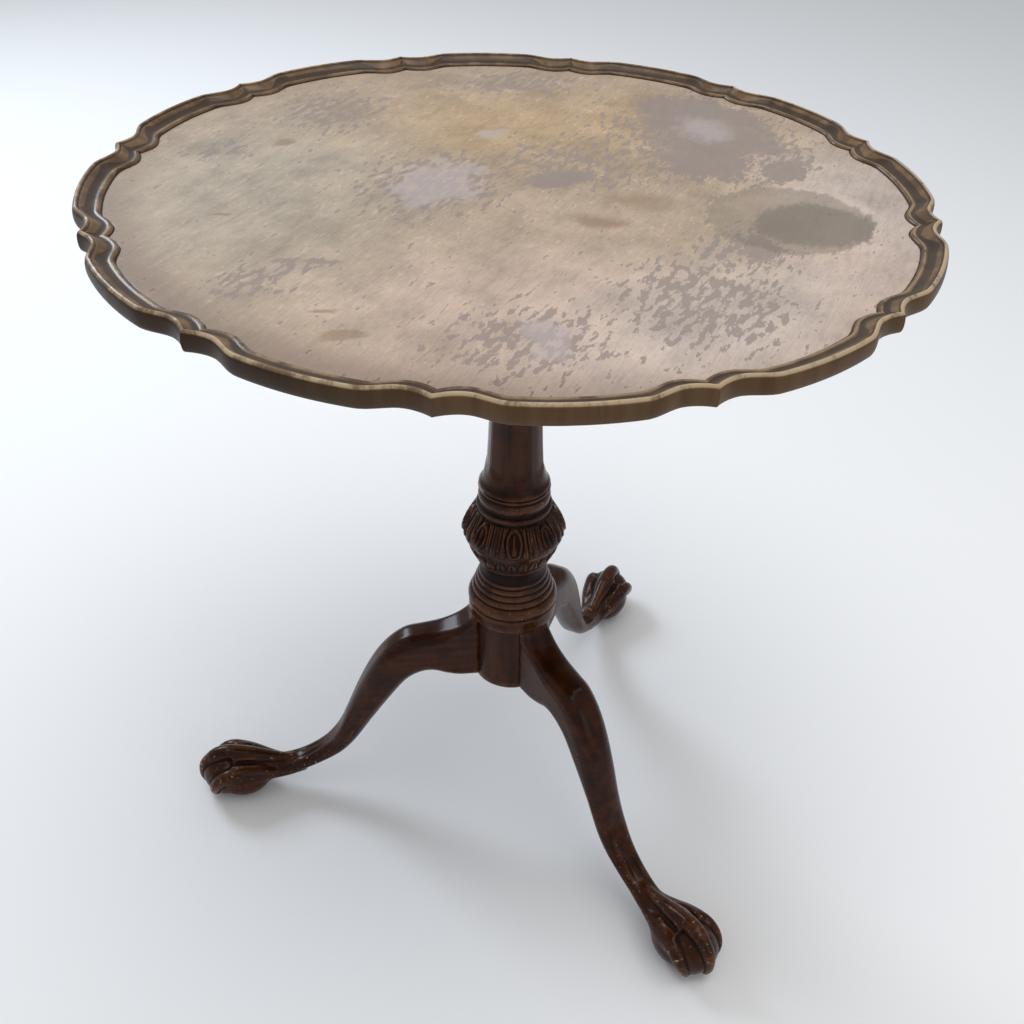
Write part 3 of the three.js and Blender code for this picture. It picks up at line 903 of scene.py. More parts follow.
        # a hooped scroll on every motif, larger on every second one
        size = 1.0 - 0.16 * odd
        ring = np.hypot(across / (7.8 * size), (up - 0.52) / (0.44 * size))
        within = 1 - smooth_step(ring, 1.08, 1.2)
        scroll = -1.2 + 2.6 * bell(ring - 0.84, 0.17)
        eye = np.hypot(across / 2.9, (up - 0.30) / 0.12)
        scroll = np.maximum(scroll, -1.0 + 3.0 * bell(eye, 0.9))
        spine = bell(across, 1.1) * smooth_step(up, 0.3, 0.4) * (1 - smooth_step(up, 0.72, 0.8))
        scroll = np.maximum(scroll, -1.2 + 2.6 * spine)
        out = out * (1 - within) + scroll * within
        carving = out * smooth_step(level, 352.0, 355.0) * (1 - smooth_step(level, 385.5, 388.0))
        # small upright leaves round the band under the urn
        small = (angle * 3 * self.leaves / TURN) % 1.0 - 0.5
        rise = (level - 331.0) / 14.0
        tip = np.sqrt(np.clip(1 - np.clip(rise, 0, 1) ** 2, 0, 1))
        petal = smooth_step(0.46 * tip - np.abs(small), -0.02, 0.12)
        band = smooth_step(level, 330.5, 332.5) * (1 - smooth_step(level, 344.0, 346.0))
        relief = petal * (0.9 - 1.2 * bell(small, 0.07)) - 1.1 * (1 - petal)
        return carving + relief * band

    def build(self, paint: bpy.types.Material) -> None:
        """Builds the pillar as one piece.

        Args:
            paint: The pillar's finish.
        """
        rows = self.rows()
        ring = rows[1:-1]
        angle = np.linspace(0, TURN, self.columns, endpoint=False)
        level = np.repeat(ring[:, 1:2], self.columns, axis=1)
        around = np.repeat(angle[None, :], len(ring), axis=0)
        radius = ring[:, 0:1] - self.fluting(around, level) + self.leafage(around, level)
        points = np.stack([radius * np.cos(around), radius * np.sin(around), level], axis=-1)
        poles = np.array([[0, 0, rows[0, 1]], [0, 0, rows[-1, 1]]])
        points = np.concatenate([points.reshape(-1, 3), poles])
        number = np.arange(len(ring) * self.columns).reshape(len(ring), self.columns)
        following = np.roll(number, -1, axis=1)
        walls = np.stack(
            [number[:-1], following[:-1], following[1:], number[1:]], axis=-1
        ).reshape(-1, 4)
        low, high = len(points) - 2, len(points) - 1
        caps = [(low, following[0, i], number[0, i]) for i in range(self.columns)]
        caps += [(high, number[-1, i], following[-1, i]) for i in range(self.columns)]
        mesh = plain_mesh("pillar_turned", points * MM, walls.tolist() + caps)
        soften(mesh, 50.0)
        mark_ridges(mesh, 0.35 * MM, 3)
        store(mesh, "grain", points[:, [2, 0, 1]])
        put(mesh, Body.STAND, paint, ["pillar"])


# ------------------------------------------------------------ the legs


def soft_union(first: np.ndarray, second: np.ndarray, blend: float) -> np.ndarray:
    """Joins two distance fields with a fillet.

    Args:
        first: One field.
        second: The other field.
        blend: The fillet's size, in the fields' units.

    Returns:
        The joined field.
    """
    share = np.clip(0.5 + 0.5 * (second - first) / blend, 0, 1)
    return second + (first - second) * share - blend * share * (1 - share)


def soft_cut(body: np.ndarray, tool: np.ndarray, blend: float) -> np.ndarray:
    """Takes one distance field out of another, with a rounded edge."""
    return -soft_union(-body, tool, blend)


def curve_through(points: Sequence[Sequence[float]], parts: int) -> np.ndarray:
    """A smooth row of points through given ones.

    Args:
        points: The given points, with any further numbers after their places.
        parts: How many steps between two of them.

    Returns:
        The denser row.
    """
    given = np.array(points, float)
    held = np.vstack([2 * given[0] - given[1], given, 2 * given[-1] - given[-2]])
    dense = []
    for a, b, c, d in zip(held[:-3], held[1:-2], held[2:-1], held[3:]):
        for t in np.arange(parts) / parts:
            dense.append(
                0.5 * (2 * b + (c - a) * t + (2 * a - 5 * b + 4 * c - d) * t**2
                       + (3 * b - a - 3 * c + d) * t**3)
            )
    dense.append(given[-1])
    return np.array(dense)


def net_surface(field: np.ndarray, low: np.ndarray, cell: float) -> tuple[np.ndarray, np.ndarray]:
    """Nets the surface where a distance field passes zero.

    Args:
        field: The distance at each grid point, negative inside.
        low: The grid's first point.
        cell: The grid's spacing.

    Returns:
        The points, and four-cornered faces that look outwards.
    """
    inside = field < 0
    corner = [(i, j, k) for i in (0, 1) for j in (0, 1) for k in (0, 1)]

    def part(values: np.ndarray, offset: tuple[int, int, int]) -> np.ndarray:
        """One corner's value for every cell."""
        window = tuple(slice(o, o - 1 or None) for o in offset)
        return values[window]

    filled = sum(part(inside, c).astype(np.int8) for c in corner)
    crossed = (filled > 0) & (filled < 8)
    number = np.full(crossed.shape, -1, np.int64)
    number[crossed] = np.arange(np.count_nonzero(crossed))
    values = np.stack([part(field, c)[crossed] for c in corner], axis=1)
    place = np.array(corner, float)
    total = np.zeros((len(values), 3))
    count = np.zeros(len(values))
    for a in range(8):
        for b in range(a + 1, 8):
            if np.abs(place[a] - place[b]).sum() != 1:
                continue
            mixed = (values[:, a] < 0) != (values[:, b] < 0)
            gap = values[:, a] - values[:, b]
            share = np.where(mixed, values[:, a] / np.where(mixed, gap, 1), 0)
            total += mixed[:, None] * (place[a] + share[:, None] * (place[b] - place[a]))
            count += mixed
    points = low + cell * (np.argwhere(crossed) + total / count[:, None])
    faces = []
    for axis in range(3):
        first = np.moveaxis(inside, axis, 0)
        cells = np.moveaxis(number, axis, 0)
        here, there = first[:-1, 1:-1, 1:-1], first[1:, 1:-1, 1:-1]
        quad = np.stack(
            [cells[:, :-1, :-1], cells[:, 1:, :-1], cells[:, 1:, 1:], cells[:, :-1, 1:]],
            axis=-1,
        )
        # moving axis 1 to the front turns the other two round
        outward, inward = (here & ~there), (~here & there)
        if axis == 1:
            outward, inward = inward, outward
        faces.append(quad[outward])
        faces.append(quad[inward][:, ::-1])
    return points, np.concatenate(faces)


@dataclass
class ClawLeg:
    """A cabriole leg on a claw and ball foot, in millimetres, along +X from the pillar."""

    drum_radius: float = 40.0
    ball_at: float = 320.0
    ball_radius: float = 27.0
    ball_height: float = 26.6
    thick: float = 36.0
    thin: float = 27.0
    cell: float = 1.2
    easing: float = 0.75
    scribing: float = 0.6

    def stations(self) -> np.ndarray:
        """Back and belly of the leg in side view, and how full its width is."""
        return np.array(
            [
                (34, 257, 34, 170, 1), (42, 252, 42, 170, 1), (47, 245.4, 47, 170, 1),
                (58, 236.8, 58, 170, 1.04), (76, 229.8, 72, 172.6, 1.2),
                (97, 226.5, 86, 176.6, 1.38), (114, 222.5, 99, 174.5, 1.45),
                (130, 211, 111, 166.5, 1.42), (143, 195.5, 121, 154, 1.35),
                (153, 179, 131, 139, 1.27), (162, 161, 142, 122, 1.17),
                (171, 140.5, 152, 106, 1.06), (181, 115.5, 164, 88, 0.92),
                (192, 88, 177, 70.5, 0.72), (205, 68.5, 190, 56.5, 0.5),
                (220, 55.5, 206, 45, 0.28), (238, 46, 226, 33.5, 0.1),
                (256, 42.5, 247, 23.5, 0), (272, 46, 266, 16, 0.15), (290, 50, 284, 12, 0.35),
                (306, 46, 302, 12, 0.3),
            ],
            float,
        )

    def grid(self) -> tuple[np.ndarray, np.ndarray, np.ndarray]:
        """The grid's three axes."""
        return (
            np.arange(30.0, 357.0, self.cell),
            np.arange(-43.8, 44.0, self.cell),
            np.arange(-3.0, 262.0, self.cell),
        )

    def limb(self) -> np.ndarray:
        """The distance field of the leg without its foot."""
        x, y, z = self.grid()
        path = curve_through(self.stations(), 6)
        back, belly = path[:, 0:2], path[:, 2:4]
        outline = np.vstack([back, belly[::-1]])
        px, pz = np.meshgrid(x, z, indexing="ij")
        spot = np.stack([px, pz], axis=-1)
        near = np.full(px.shape, 1e9)
        inside = np.zeros(px.shape, bool)
        for a, b in zip(outline, np.roll(outline, -1, axis=0)):
            run = b - a
            if np.hypot(*run) < 1e-9:
                continue
            t = np.clip(((spot - a) @ run) / (run @ run), 0, 1)
            near = np.minimum(near, np.hypot(px - a[0] - t * run[0], pz - a[1] - t * run[1]))
            spans = (a[1] > pz) != (b[1] > pz)
            rise = run[1] if abs(run[1]) > 1e-9 else 1e-9
            inside ^= spans & (px < a[0] + (pz - a[1]) / rise * run[0])
        side_view = np.where(inside, -near, near)
        middle = (back + belly) / 2
        best = np.full(px.shape, 1e9)
        half_width = np.zeros(px.shape)
        half_depth = np.zeros(px.shape)
        for centre, station in zip(middle, path):
            away = np.hypot(px - centre[0], pz - centre[1])
            closer = away < best
            best = np.where(closer, away, best)
            half_width[closer] = (self.thin + (self.thick - self.thin) * station[4]) / 2
            half_depth[closer] = np.hypot(*(station[0:2] - station[2:4])) / 2
        for _ in range(6):
            for measure in (half_width, half_depth):
                padded = np.pad(measure, 1, mode="edge")
                measure[:] = (
                    padded[:-2, 1:-1] + padded[2:, 1:-1] + padded[1:-1, :-2] + padded[1:-1, 2:]
                ) / 4
        # square-shouldered at the pillar and the knee, round at the ankle
        roundest = np.minimum(half_width, half_depth) * 0.97
        knee = np.minimum(7.5 + 7.5 * smooth_step(px, 48.0, 100.0), roundest)
        down = 1 - smooth_step(pz, 66.0, 190.0)
        rounding = knee + (roundest - knee) * np.clip(down, 0, 1)
        across = side_view[:, None, :] + rounding[:, None, :]
        beside = np.abs(y)[None, :, None] - (half_width - rounding)[:, None, :]
        solid = np.minimum(np.maximum(across, beside), 0)
        solid = solid + np.hypot(np.maximum(across, 0), np.maximum(beside, 0))
        return solid - rounding[:, None, :]

    def toe(self, chain: Sequence[Sequence[float]]) -> np.ndarray:
        """The distance field of one toe over the foot's part of the grid.

        Args:
            chain: Centre and radius of its joints, from the heel to the tip.

        Returns:
            The field.
        """
        x, y, z = self.foot_grid()
        dense = curve_through(chain, 2)
        field = np.full((len(x), len(y), len(z)), 1e9, np.float32)
        gx, gy, gz = x[:, None, None], y[None, :, None], z[None, None, :]
        for a, b in zip(dense[:-1], dense[1:]):
            run = b[:3] - a[:3]
            t = (gx - a[0]) * run[0] + (gy - a[1]) * run[1] + (gz - a[2]) * run[2]
            t = np.clip(t / (run @ run), 0, 1)
            away = np.sqrt(
                (gx - a[0] - t * run[0]) ** 2
                + (gy - a[1] - t * run[1]) ** 2
                + (gz - a[2] - t * run[2]) ** 2
            )
            field = np.minimum(field, away - (a[3] + t * (b[3] - a[3])))
        return field

    def foot_start(self) -> int:
        """The first grid row along X that the foot reaches."""
        return int(np.searchsorted(self.grid()[0], 206.0))

    def foot_grid(self) -> tuple[np.ndarray, np.ndarray, np.ndarray]:
        """The axes of the foot's part of the grid."""
        x, y, z = self.grid()
        return x[self.foot_start():], y, z[: int(np.searchsorted(z, 84.0))]

    def toe_chains(self) -> dict[str, list[tuple[float, ...]]]:
        """The middle line and radii of each toe, knuckle by knuckle."""
        at = self.ball_at
        centre = [
            (at - 84, 0, 38, 5.5), (at - 62, 0, 41, 6.2), (at - 46, 0, 45.5, 7.2),
            (at - 30, 0, 50.3, 8.3), (at - 16, 0, 53.6, 8.8), (at - 4, 0, 55.4, 9.2),
            (at + 8, 0, 53, 8.8), (at + 16, 0, 47.4, 7.5), (at + 22.4, 0, 40, 7.0),
            (at + 25.4, 0, 31, 6.0), (at + 26.2, 0, 22, 4.8), (at + 24, 0, 13, 3.6),
            (at + 20, 0, 7.5, 2.4),
        ]
        side = [
            (at - 84, 5.5, 31, 5.5), (at - 66, 8, 29.5, 6.6), (at - 50, 11.5, 31, 7.8),
            (at - 36, 15.2, 34.4, 8.6), (at - 22, 18.6, 38.2, 8.6), (at - 9, 21.8, 40.6, 8.4),
            (at + 1, 23.4, 38.2, 7.8), (at + 8, 24, 32.4, 6.9), (at + 12.4, 23, 25.4, 5.8),
            (at + 14, 20.6, 18, 4.6), (at + 13.4, 17.6, 11, 3.4), (at + 11.6, 14.6, 6.4, 2.2),
        ]
        heel = [
            (at - 66, 0, 26, 7.5), (at - 52, 0, 23, 9.5), (at - 40, 0, 20.5, 10.5),
            (at - 29, 0, 17, 9.5), (at - 20, 0, 12, 7.5), (at - 12, 0, 7, 5.0),
        ]
        return {
            "centre": centre,
            "left": side,
            "right": [(px, -py, pz, r) for px, py, pz, r in side],
            "heel": heel,
        }

    def foot(self) -> np.ndarray:
        """The distance field of the ball and its claw."""
        x, y, z = self.foot_grid()
        gx, gy, gz = x[:, None, None], y[None, :, None], z[None, None, :]
        ball = np.sqrt(
            (gx - self.ball_at) ** 2 + gy**2 + ((gz - self.ball_height) * 1.02) ** 2
        ) - self.ball_radius
        chains = self.toe_chains()
        toes = {name: self.toe(chain) for name, chain in chains.items()}
        claw = soft_union(toes["left"], toes["right"], 1.5)
        claw = soft_union(claw, toes["centre"], 2.0)
        claw = soft_union(claw, toes["heel"], 7.0)
        # the skin between the toes, hollowed and ending in a small lip on the ball
        web = np.sqrt(
            ((gx - self.ball_at + 15) / 1.15) ** 2 + gy**2 + (gz - self.ball_height) ** 2
        ) - (self.ball_radius + 3.0)
        behind = (gx - self.ball_at) + 0.32 * (gz - self.ball_height) + 1.0
        web = np.maximum(web, behind)
        under = 7.0 - gz + 0.35 * (gx - self.ball_at + 26)
        web = np.maximum(web, under)
        claw = soft_union(claw, web, 4.5)
        return soft_union(ball, claw, 0.9)

    def grooves(self, field: np.ndarray) -> np.ndarray:
        """Cuts the grooves that run from between the toes up the ankle.

        Args:
            field: The foot's field.

        Returns:
            The field with grooves.
        """
        at = self.ball_at
        line = [
            (at - 108, 3.4, 62.6, 0.5), (at - 96, 4.6, 53.2, 1.2), (at - 84, 5.6, 48.2, 1.9),
            (at - 62, 8.2, 44.6, 2.6), (at - 42, 11.2, 47.4, 3.0), (at - 26, 13.4, 51.0, 3.2),
            (at - 10, 15.0, 53.4, 3.2), (at + 6, 15.6, 49.6, 2.4),
        ]
        for hand in (1, -1):
            groove = self.toe([(px, hand * py, pz, r) for px, py, pz, r in line])
            field = soft_cut(field, groove, 1.6)
        return field

    def shape(self) -> tuple[np.ndarray, np.ndarray]:
        """Nets the whole leg.

        Returns:
            Its points in millimetres and its faces.
        """
        x, y, z = self.grid()
        field = self.limb()
        start, tall = self.foot_start(), len(self.foot_grid()[2])
        end = field[start:, :, :tall]
        joined = self.grooves(soft_union(end, self.foot(), 2.6))
        fade = smooth_step(x[start:], x[start], x[start] + 12)[:, None, None]
        field[start:, :, :tall] = end * (1 - fade) + joined * fade
        gx, gy = x[:, None, None], y[None, :, None]
        # the shoulder is scribed to the drum, and the ball stands flat on the floor
        shoulder = (self.drum_radius - self.scribing) - np.hypot(gx, gy)
        field = np.maximum(field, shoulder)
        field = np.maximum(field, -z[None, None, :] + 0.05)
        low = np.array([x[0], y[0], z[0]])
        return net_surface(field, low, self.cell)

    def build(self, paint: bpy.types.Material, turns: Sequence[float]) -> None:
        """Builds the legs, one piece each.

        Args:
            paint: Their finish.
            turns: The angle of each leg, in degrees from +X.
        """
        points, faces = self.shape()
        draft = plain_mesh("leg_draft", points * MM, faces)
        eased = spread(points, edge_pairs(draft), 2)
        points = points + self.easing * (eased - points)
        points[:, 2] = np.maximum(points[:, 2], 0.0)
        for number, turn in enumerate(turns, start=1):
            cosine, sine = math.cos(math.radians(turn)), math.sin(math.radians(turn))
            spot = points.copy()
            spot[:, 0] = cosine * points[:, 0] - sine * points[:, 1]
            spot[:, 1] = sine * points[:, 0] + cosine * points[:, 1]
            mesh = plain_mesh(f"claw_leg_{number}", spot * MM, faces)
            soften(mesh, 60.0)
            mark_ridges(mesh, 0.45 * MM, 4)
            store(mesh, "grain", points * [0.8, 1, 1] + [211.0 * number, 0, points[0, 2]])
            put(mesh, Body.STAND, paint, [f"leg_{number}"])
        bpy.data.meshes.remove(draft)


# ------------------------------------------------------------ screws and hidden fittings


@dataclass
class Screws:
    """Slotted screws of one size and metal, all heads facing one way."""

    name: str
    nodes: tuple[str, ...]
    body: Body
    slot: Slot
    sideways: bool
    seed: int
    sides: int = 20
    slot_share: float = 0.2
    shank_share: float = 0.46
    rim_share: float = 0.16
    sink_share: float = 0.5

    def rule(self, paint: bpy.types.Material) -> bpy.types.NodeTree:
        """The tree that makes one screw and sets it on every point.

        Args:
            paint: The screws' metal.

        Returns:
            The tree.
        """
        bench, given = rule_tree(
            self.name,
            {
                "Head radius": "NodeSocketFloat",
                "Length": "NodeSocketFloat",
                "Shank share": "NodeSocketFloat",
                "Slot share": "NodeSocketFloat",
                "Tilt": "NodeSocketFloat",
                "Seed": "NodeSocketInt",
            },
        )
        head, length = given["Head radius"], given["Length"]
        shank = head * given["Shank share"]
        rim, sink = head * self.rim_share, head * self.sink_share

        def lifted(shape: Wire, height: Value) -> Wire:
            """A shape moved up."""
            return bench.node(
                "GeometryNodeTransform",
                None,
                {"Geometry": shape, "Translation": bench.combined(Z=height)},
            )

        disc = bench.node(
            "GeometryNodeMeshCylinder",
            None,
            {"Vertices": self.sides, "Radius": head, "Depth": rim},
        )
        cone = bench.node(
            "GeometryNodeMeshCone",
            None,
            {
                "Vertices": self.sides, "Radius Bottom": head, "Radius Top": shank * 0.98,
                "Depth": sink,
            },
        )
        stem_length = length - rim - sink * 0.6
        stem = bench.node(
            "GeometryNodeMeshCone",
            None,
            {
                "Vertices": self.sides, "Radius Bottom": shank, "Radius Top": shank * 0.45,
                "Depth": stem_length,
            },
        )
        # the cylinder is centred on its own middle and the cones stand on their base
        solid = bench.tree.nodes.new("GeometryNodeMeshBoolean")
        solid.operation = "UNION"
        for shape in (
            lifted(disc, rim * 0.5),
            lifted(cone, rim * 0.98),
            lifted(stem, rim + sink * 0.6),
        ):
            bench.tree.links.new(shape.socket, solid.inputs["Mesh 2"])
        breadth = bench.combined(X=head * 2.4, Y=head * given["Slot share"], Z=head * 0.3)
        bar = bench.node("GeometryNodeMeshCube", None, {"Size": breadth})
        cut = bench.tree.nodes.new("GeometryNodeMeshBoolean")
        cut.operation = "DIFFERENCE"
        bench.tree.links.new(solid.outputs[0], cut.inputs["Mesh 1"])
        bench.tree.links.new(bar.socket, cut.inputs["Mesh 2"])
        screw = Wire(bench.tree, cut.outputs[0])
        points = bench.node("GeometryNodeMeshToPoints", None, {"Mesh": given["Geometry"]})
        tilt = bench.combined(Y=given["Tilt"])
        placed = bench.node(
            "GeometryNodeInstanceOnPoints",
            None,
            {"Points": points, "Instance": screw, "Rotation": tilt},
        )
        random = bench.node(
            "FunctionNodeRandomValue",
            {"data_type": "FLOAT"},
            {3: math.pi, "Seed": given["Seed"]},
            1,
        )
        spin = bench.combined(Z=random)
        spun = bench.node(
            "GeometryNodeRotateInstances", None, {"Instances": placed, "Rotation": spin}
        )
        return close_tree(bench, spun, paint)

    def build(self, paint: bpy.types.Material) -> None:
        """Builds the screws as one piece.

        Args:
            paint: Their metal.
        """
        boxes = [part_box(node) for node in self.nodes]
        spots = []
        for low, high in boxes:
            middle = (low + high) / 2
            head_at = Vector((low.x, middle.y, middle.z)) if self.sideways else Vector(
                (middle.x, middle.y, low.z)
            )
            spots.append(tuple(head_at))
        low, high = boxes[0]
        span = high - low
        sizes = {
            "Head radius": span.y / 2,
            "Length": span.x if self.sideways else span.z,
            "Shank share": self.shank_share,
            "Slot share": self.slot_share,
            "Tilt": math.pi / 2 if self.sideways else 0.0,
            "Seed": self.seed,
        }
        points = plain_mesh(self.name + "_points", np.array(spots), np.zeros((0, 3), int))
        mesh = grow(self.name, points, self.rule(paint), sizes)
        soften(mesh, 30.0)
        put(mesh, self.body, paint, self.nodes)


def dress_underworks(
    inner: bpy.types.Material, pins: bpy.types.Material,
    brass: bpy.types.Material, iron: bpy.types.Material,
) -> None:
    """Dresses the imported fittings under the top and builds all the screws.

    Args:
        inner: Finish of the hidden timber.
        pins: Finish of the hinge pins.
        brass: Finish of the catch and its screws.
        iron: Finish of the brace and the wood screws.
    """
    finishes = {
        inner: ("batten_near", "batten_far", "pillar_block", "tenon_wedge"),
        pins: ("hinge_pin_near", "hinge_pin_far"),
        brass: ("catch_case", "catch_bolt", "catch_knob", "keeper_plate"),
        iron: ("brace_plate",),
    }
    for paint, nodes in finishes.items():
        for node in nodes:
            refinish(node, paint)
    for kind, count, body, slot, paint, sideways, seed in (
        ("batten_screw", 8, Body.TOP, Slot.IRON, iron, False, 3),
        ("brace_screw", 7, Body.STAND, Slot.IRON, iron, False, 5),
        ("catch_screw", 4, Body.TOP, Slot.BRASS, brass, False, 11),
        ("keeper_screw", 2, Body.STAND, Slot.BRASS, brass, True, 13),
    ):
        nodes = tuple(f"{kind}_{number}" for number in range(1, count + 1))
        Screws(kind + "s", nodes, body, slot, sideways, seed).build(paint)




# ------------------------------------------------------------ finishes

TOP_REACH = 340.0


@dataclass(frozen=True)
class Mark:
    """One mark on the top: its middle, its reach each way and its turn, in mm and degrees."""

    x: float
    y: float
    across: float
    along: float
    turn: float = 0.0
    edge: float = 0.25


@dataclass(frozen=True)
class TopFields:
    """The point on the top in millimetres, and the noises its finish is made of."""

    x: Wire
    y: Wire
    z: Wire
    flat: Wire
    loose: Wire
    fibre: Wire
    figure: Wire
    broad: Wire
    cloud: Wire
    crumbs: Wire
    specks: Wire
    flecks: Wire
    rub: Wire


@dataclass(frozen=True)
class BleachedTop:
    """The sun-bleached field with the last flakes of its old polish, and its browner rim."""

    grain_turn: float = math.radians(60)
    pale: Colour = (0.400, 0.305, 0.222, 1)
    ochre: Colour = (0.440, 0.305, 0.170, 1)
    blush: Colour = (0.590, 0.445, 0.370, 1)
    bare: Colour = (0.530, 0.455, 0.410, 1)
    fleck: Colour = (0.560, 0.455, 0.340, 1)
    rim_foot_dark: Colour = (0.190, 0.130, 0.105, 1)
    # partly the wood's own green-grey tone, partly a painted reflection of the sky
    green_grey_and_sky_sheen: Colour = (0.385, 0.340, 0.275, 1)
    flake: Colour = (0.262, 0.212, 0.190, 1)
    milk: Colour = (0.450, 0.385, 0.375, 1)
    stain: Colour = (0.165, 0.142, 0.112, 1)
    brown: Colour = (0.250, 0.165, 0.098, 1)
    rim: Colour = (0.084, 0.041, 0.014, 1)
    rim_light: Colour = (0.225, 0.134, 0.060, 1)
    rim_dark: Colour = (0.018, 0.0095, 0.006, 1)
    worn: Colour = (0.480, 0.360, 0.225, 1)
    raw: Colour = (0.150, 0.082, 0.046, 1)

    round_stain: tuple[Mark, ...] = (Mark(210, -63, 68, 66, 0, 0.05),)
    inner_stain: tuple[Mark, ...] = (Mark(226, -76, 48, 42, 0, 0.16),)
    brown_marks: tuple[Mark, ...] = (
        Mark(90, -22, 26, 15, 20, 0.6), Mark(57, -63, 24, 10, -15, 0.6),
        Mark(-149, -207, 11, 3.5, 10, 0.4), Mark(-137, -240, 17, 5, 5, 0.4),
        Mark(-196, 108, 7, 11, -20, 0.35), Mark(-231, -43, 9, 3, 15, 0.4),
    )
    patches: tuple[Mark, ...] = (
        Mark(188, 178, 50, 44, 20, 0.05), Mark(168, 78, 40, 60, 10, 0.05),
        Mark(206, 112, 38, 36, 0, 0.05), Mark(34, 22, 26, 14, 20, 0.2),
        Mark(172, -117, 13, 24, -15, 0.1), Mark(232, 36, 30, 18, 50, 0.1),
    )
    milky: tuple[Mark, ...] = (
        Mark(-65, 19, 36, 44, -25, 0.2), Mark(-7, -248, 14, 28, 10, 0.3),
        Mark(-12, 126, 14, 9, 0, 0.3), Mark(186, 140, 22, 30, 0, 0.5),
    )
    flaking: tuple[Mark, ...] = (
        Mark(112, -200, 62, 70, 0, 0.5), Mark(-153, 188, 45, 60, -20, 0.6),
        Mark(-246, 89, 27, 22, 0, 0.6), Mark(-201, -158, 26, 30, -20, 0.5),
        Mark(-165, -130, 22, 15, 0, 0.5), Mark(21, 269, 70, 34, 0, 0.6),
        Mark(254, 76, 22, 34, 0, 0.5), Mark(160, -120, 40, 40, 0, 0.6),
        Mark(-65, 19, 62, 75, -20, 0.6), Mark(60, 60, 90, 60, 0, 0.8),
        Mark(-20, -250, 60, 50, 0, 0.6), Mark(180, 130, 95, 105, 0, 0.5),
    )
    ochre_places: tuple[Mark, ...] = (
        Mark(10, 145, 110, 90, 0, 0.9), Mark(105, 149, 60, 90, 0, 0.9),
        Mark(267, 112, 60, 50, 0, 0.9),
    )
    blush_places: tuple[Mark, ...] = (
        Mark(-16, -195, 120, 80, 0, 0.9), Mark(250, -120, 60, 140, 0, 0.9),
        Mark(60, -280, 190, 50, 0, 0.8),
    )
    # the paler green-grey at the left: partly the wood's own tone, partly a painted sky reflection
    green_grey_and_sky_sheen_places: tuple[Mark, ...] = (Mark(-215, 10, 110, 160, 0, 0.8),)
    bare_places: tuple[Mark, ...] = (
        Mark(290, -10, 60, 150, 0, 0.9), Mark(130, -220, 120, 70, 30, 0.8),
    )

    def shape(self, paint: Paint, place: Wire, marks: Iterable[Mark], ragged: Wire) -> Wire:
        """A mask that is 1 inside any of the marks.

        Args:
            paint: The material.
            place: The point on the top, in millimetres.
            marks: The marks.
            ragged: What is added to the distance to break up their outlines.

        Returns:
            0 to 1.
        """
        total = None
        for mark in marks:
            local = paint.mapped(
                place,
                (mark.across, mark.along, 1),
                math.radians(mark.turn),
                (mark.x, mark.y, 0),
                "TEXTURE",
            )
            away = paint.vector("LENGTH", local) + ragged
            inside = away.rise(1 + mark.edge, 1 - mark.edge)
            total = inside if total is None else total.larger(inside)
        return total

    def fields(self, paint: Paint) -> TopFields:
        """The noises, most of them drawn out along the grain.

        Args:
            paint: The material.

        Returns:
            The noises.
        """
        x, y, z = paint.parts(paint.place())
        flat = paint.combined(X=x, Y=y)
        drift = paint.node(
            "ShaderNodeTexNoise", None, {"Vector": flat, "Scale": 0.03, "Detail": 4.0}, "Color"
        )
        drift = paint.vector("SUBTRACT", drift, (0.5, 0.5, 0.5))
        drift = paint.vector("MULTIPLY", drift, (34.0, 34.0, 0.0))
        loose = paint.vector("ADD", flat, drift)
        grain = paint.mapped(flat, turn=-self.grain_turn)

        def streak(along: float, across: float, detail: float) -> Wire:
            """Noise drawn out along the grain."""
            return paint.noise(paint.mapped(grain, (along, across, 1)), 1.0, detail, 0.6)

        cloud = paint.noise(loose, 0.016, 5, 0.65)
        return TopFields(
            x, y, z, flat, loose,
            fibre=streak(0.035, 0.75, 4),
            figure=streak(0.008, 0.085, 5),
            broad=paint.noise(flat, 0.008, 3, 0.6),
            cloud=cloud,
            crumbs=streak(0.062, 0.165, 8),
            specks=streak(0.25, 0.45, 3),
            flecks=streak(0.07, 0.22, 8) + (cloud - 0.5) * 0.3,
            rub=paint.noise(flat, 0.05, 4, 0.6),
        )

    def ground(self, paint: Paint, fields: TopFields) -> Wire:
        """The bleached wood: ochre to the back, pinker to the front, and a paler green-grey at the
        left that is partly the wood's own tone and partly a painted sky reflection.

        Args:
            paint: The material.
            fields: The top's noises.

        Returns:
            Its colour.
        """
        cloud, figure = fields.cloud - 0.5, fields.figure - 0.5
        tone = self.pale
        for share, colour, places, ragged in (
            (0.75, self.ochre, self.ochre_places, cloud * 1.4),
            (0.70, self.blush, self.blush_places, figure * 1.6),
            # the green-grey at the left is partly the wood's tone and partly a painted sky
            # reflection
            (0.70, self.green_grey_and_sky_sheen, self.green_grey_and_sky_sheen_places, cloud * 1.2),
            (0.65, self.bare, self.bare_places, cloud * 1.4),
        ):
            tone = paint.mix(self.shape(paint, fields.loose, places, ragged) * share, tone, colour)
        light = 1.0 + figure * 0.45 + (fields.fibre - 0.5) * 0.42 + (fields.broad - 0.5) * 0.5
        light = light + cloud * 0.85 + (fields.crumbs - 0.5) * 0.5
        light = light + (fields.specks - 0.5) * 0.3
        return paint.mix(
            fields.flecks.rise(0.60, 0.64) * 0.55, paint.scaled(tone, light), self.fleck
        )

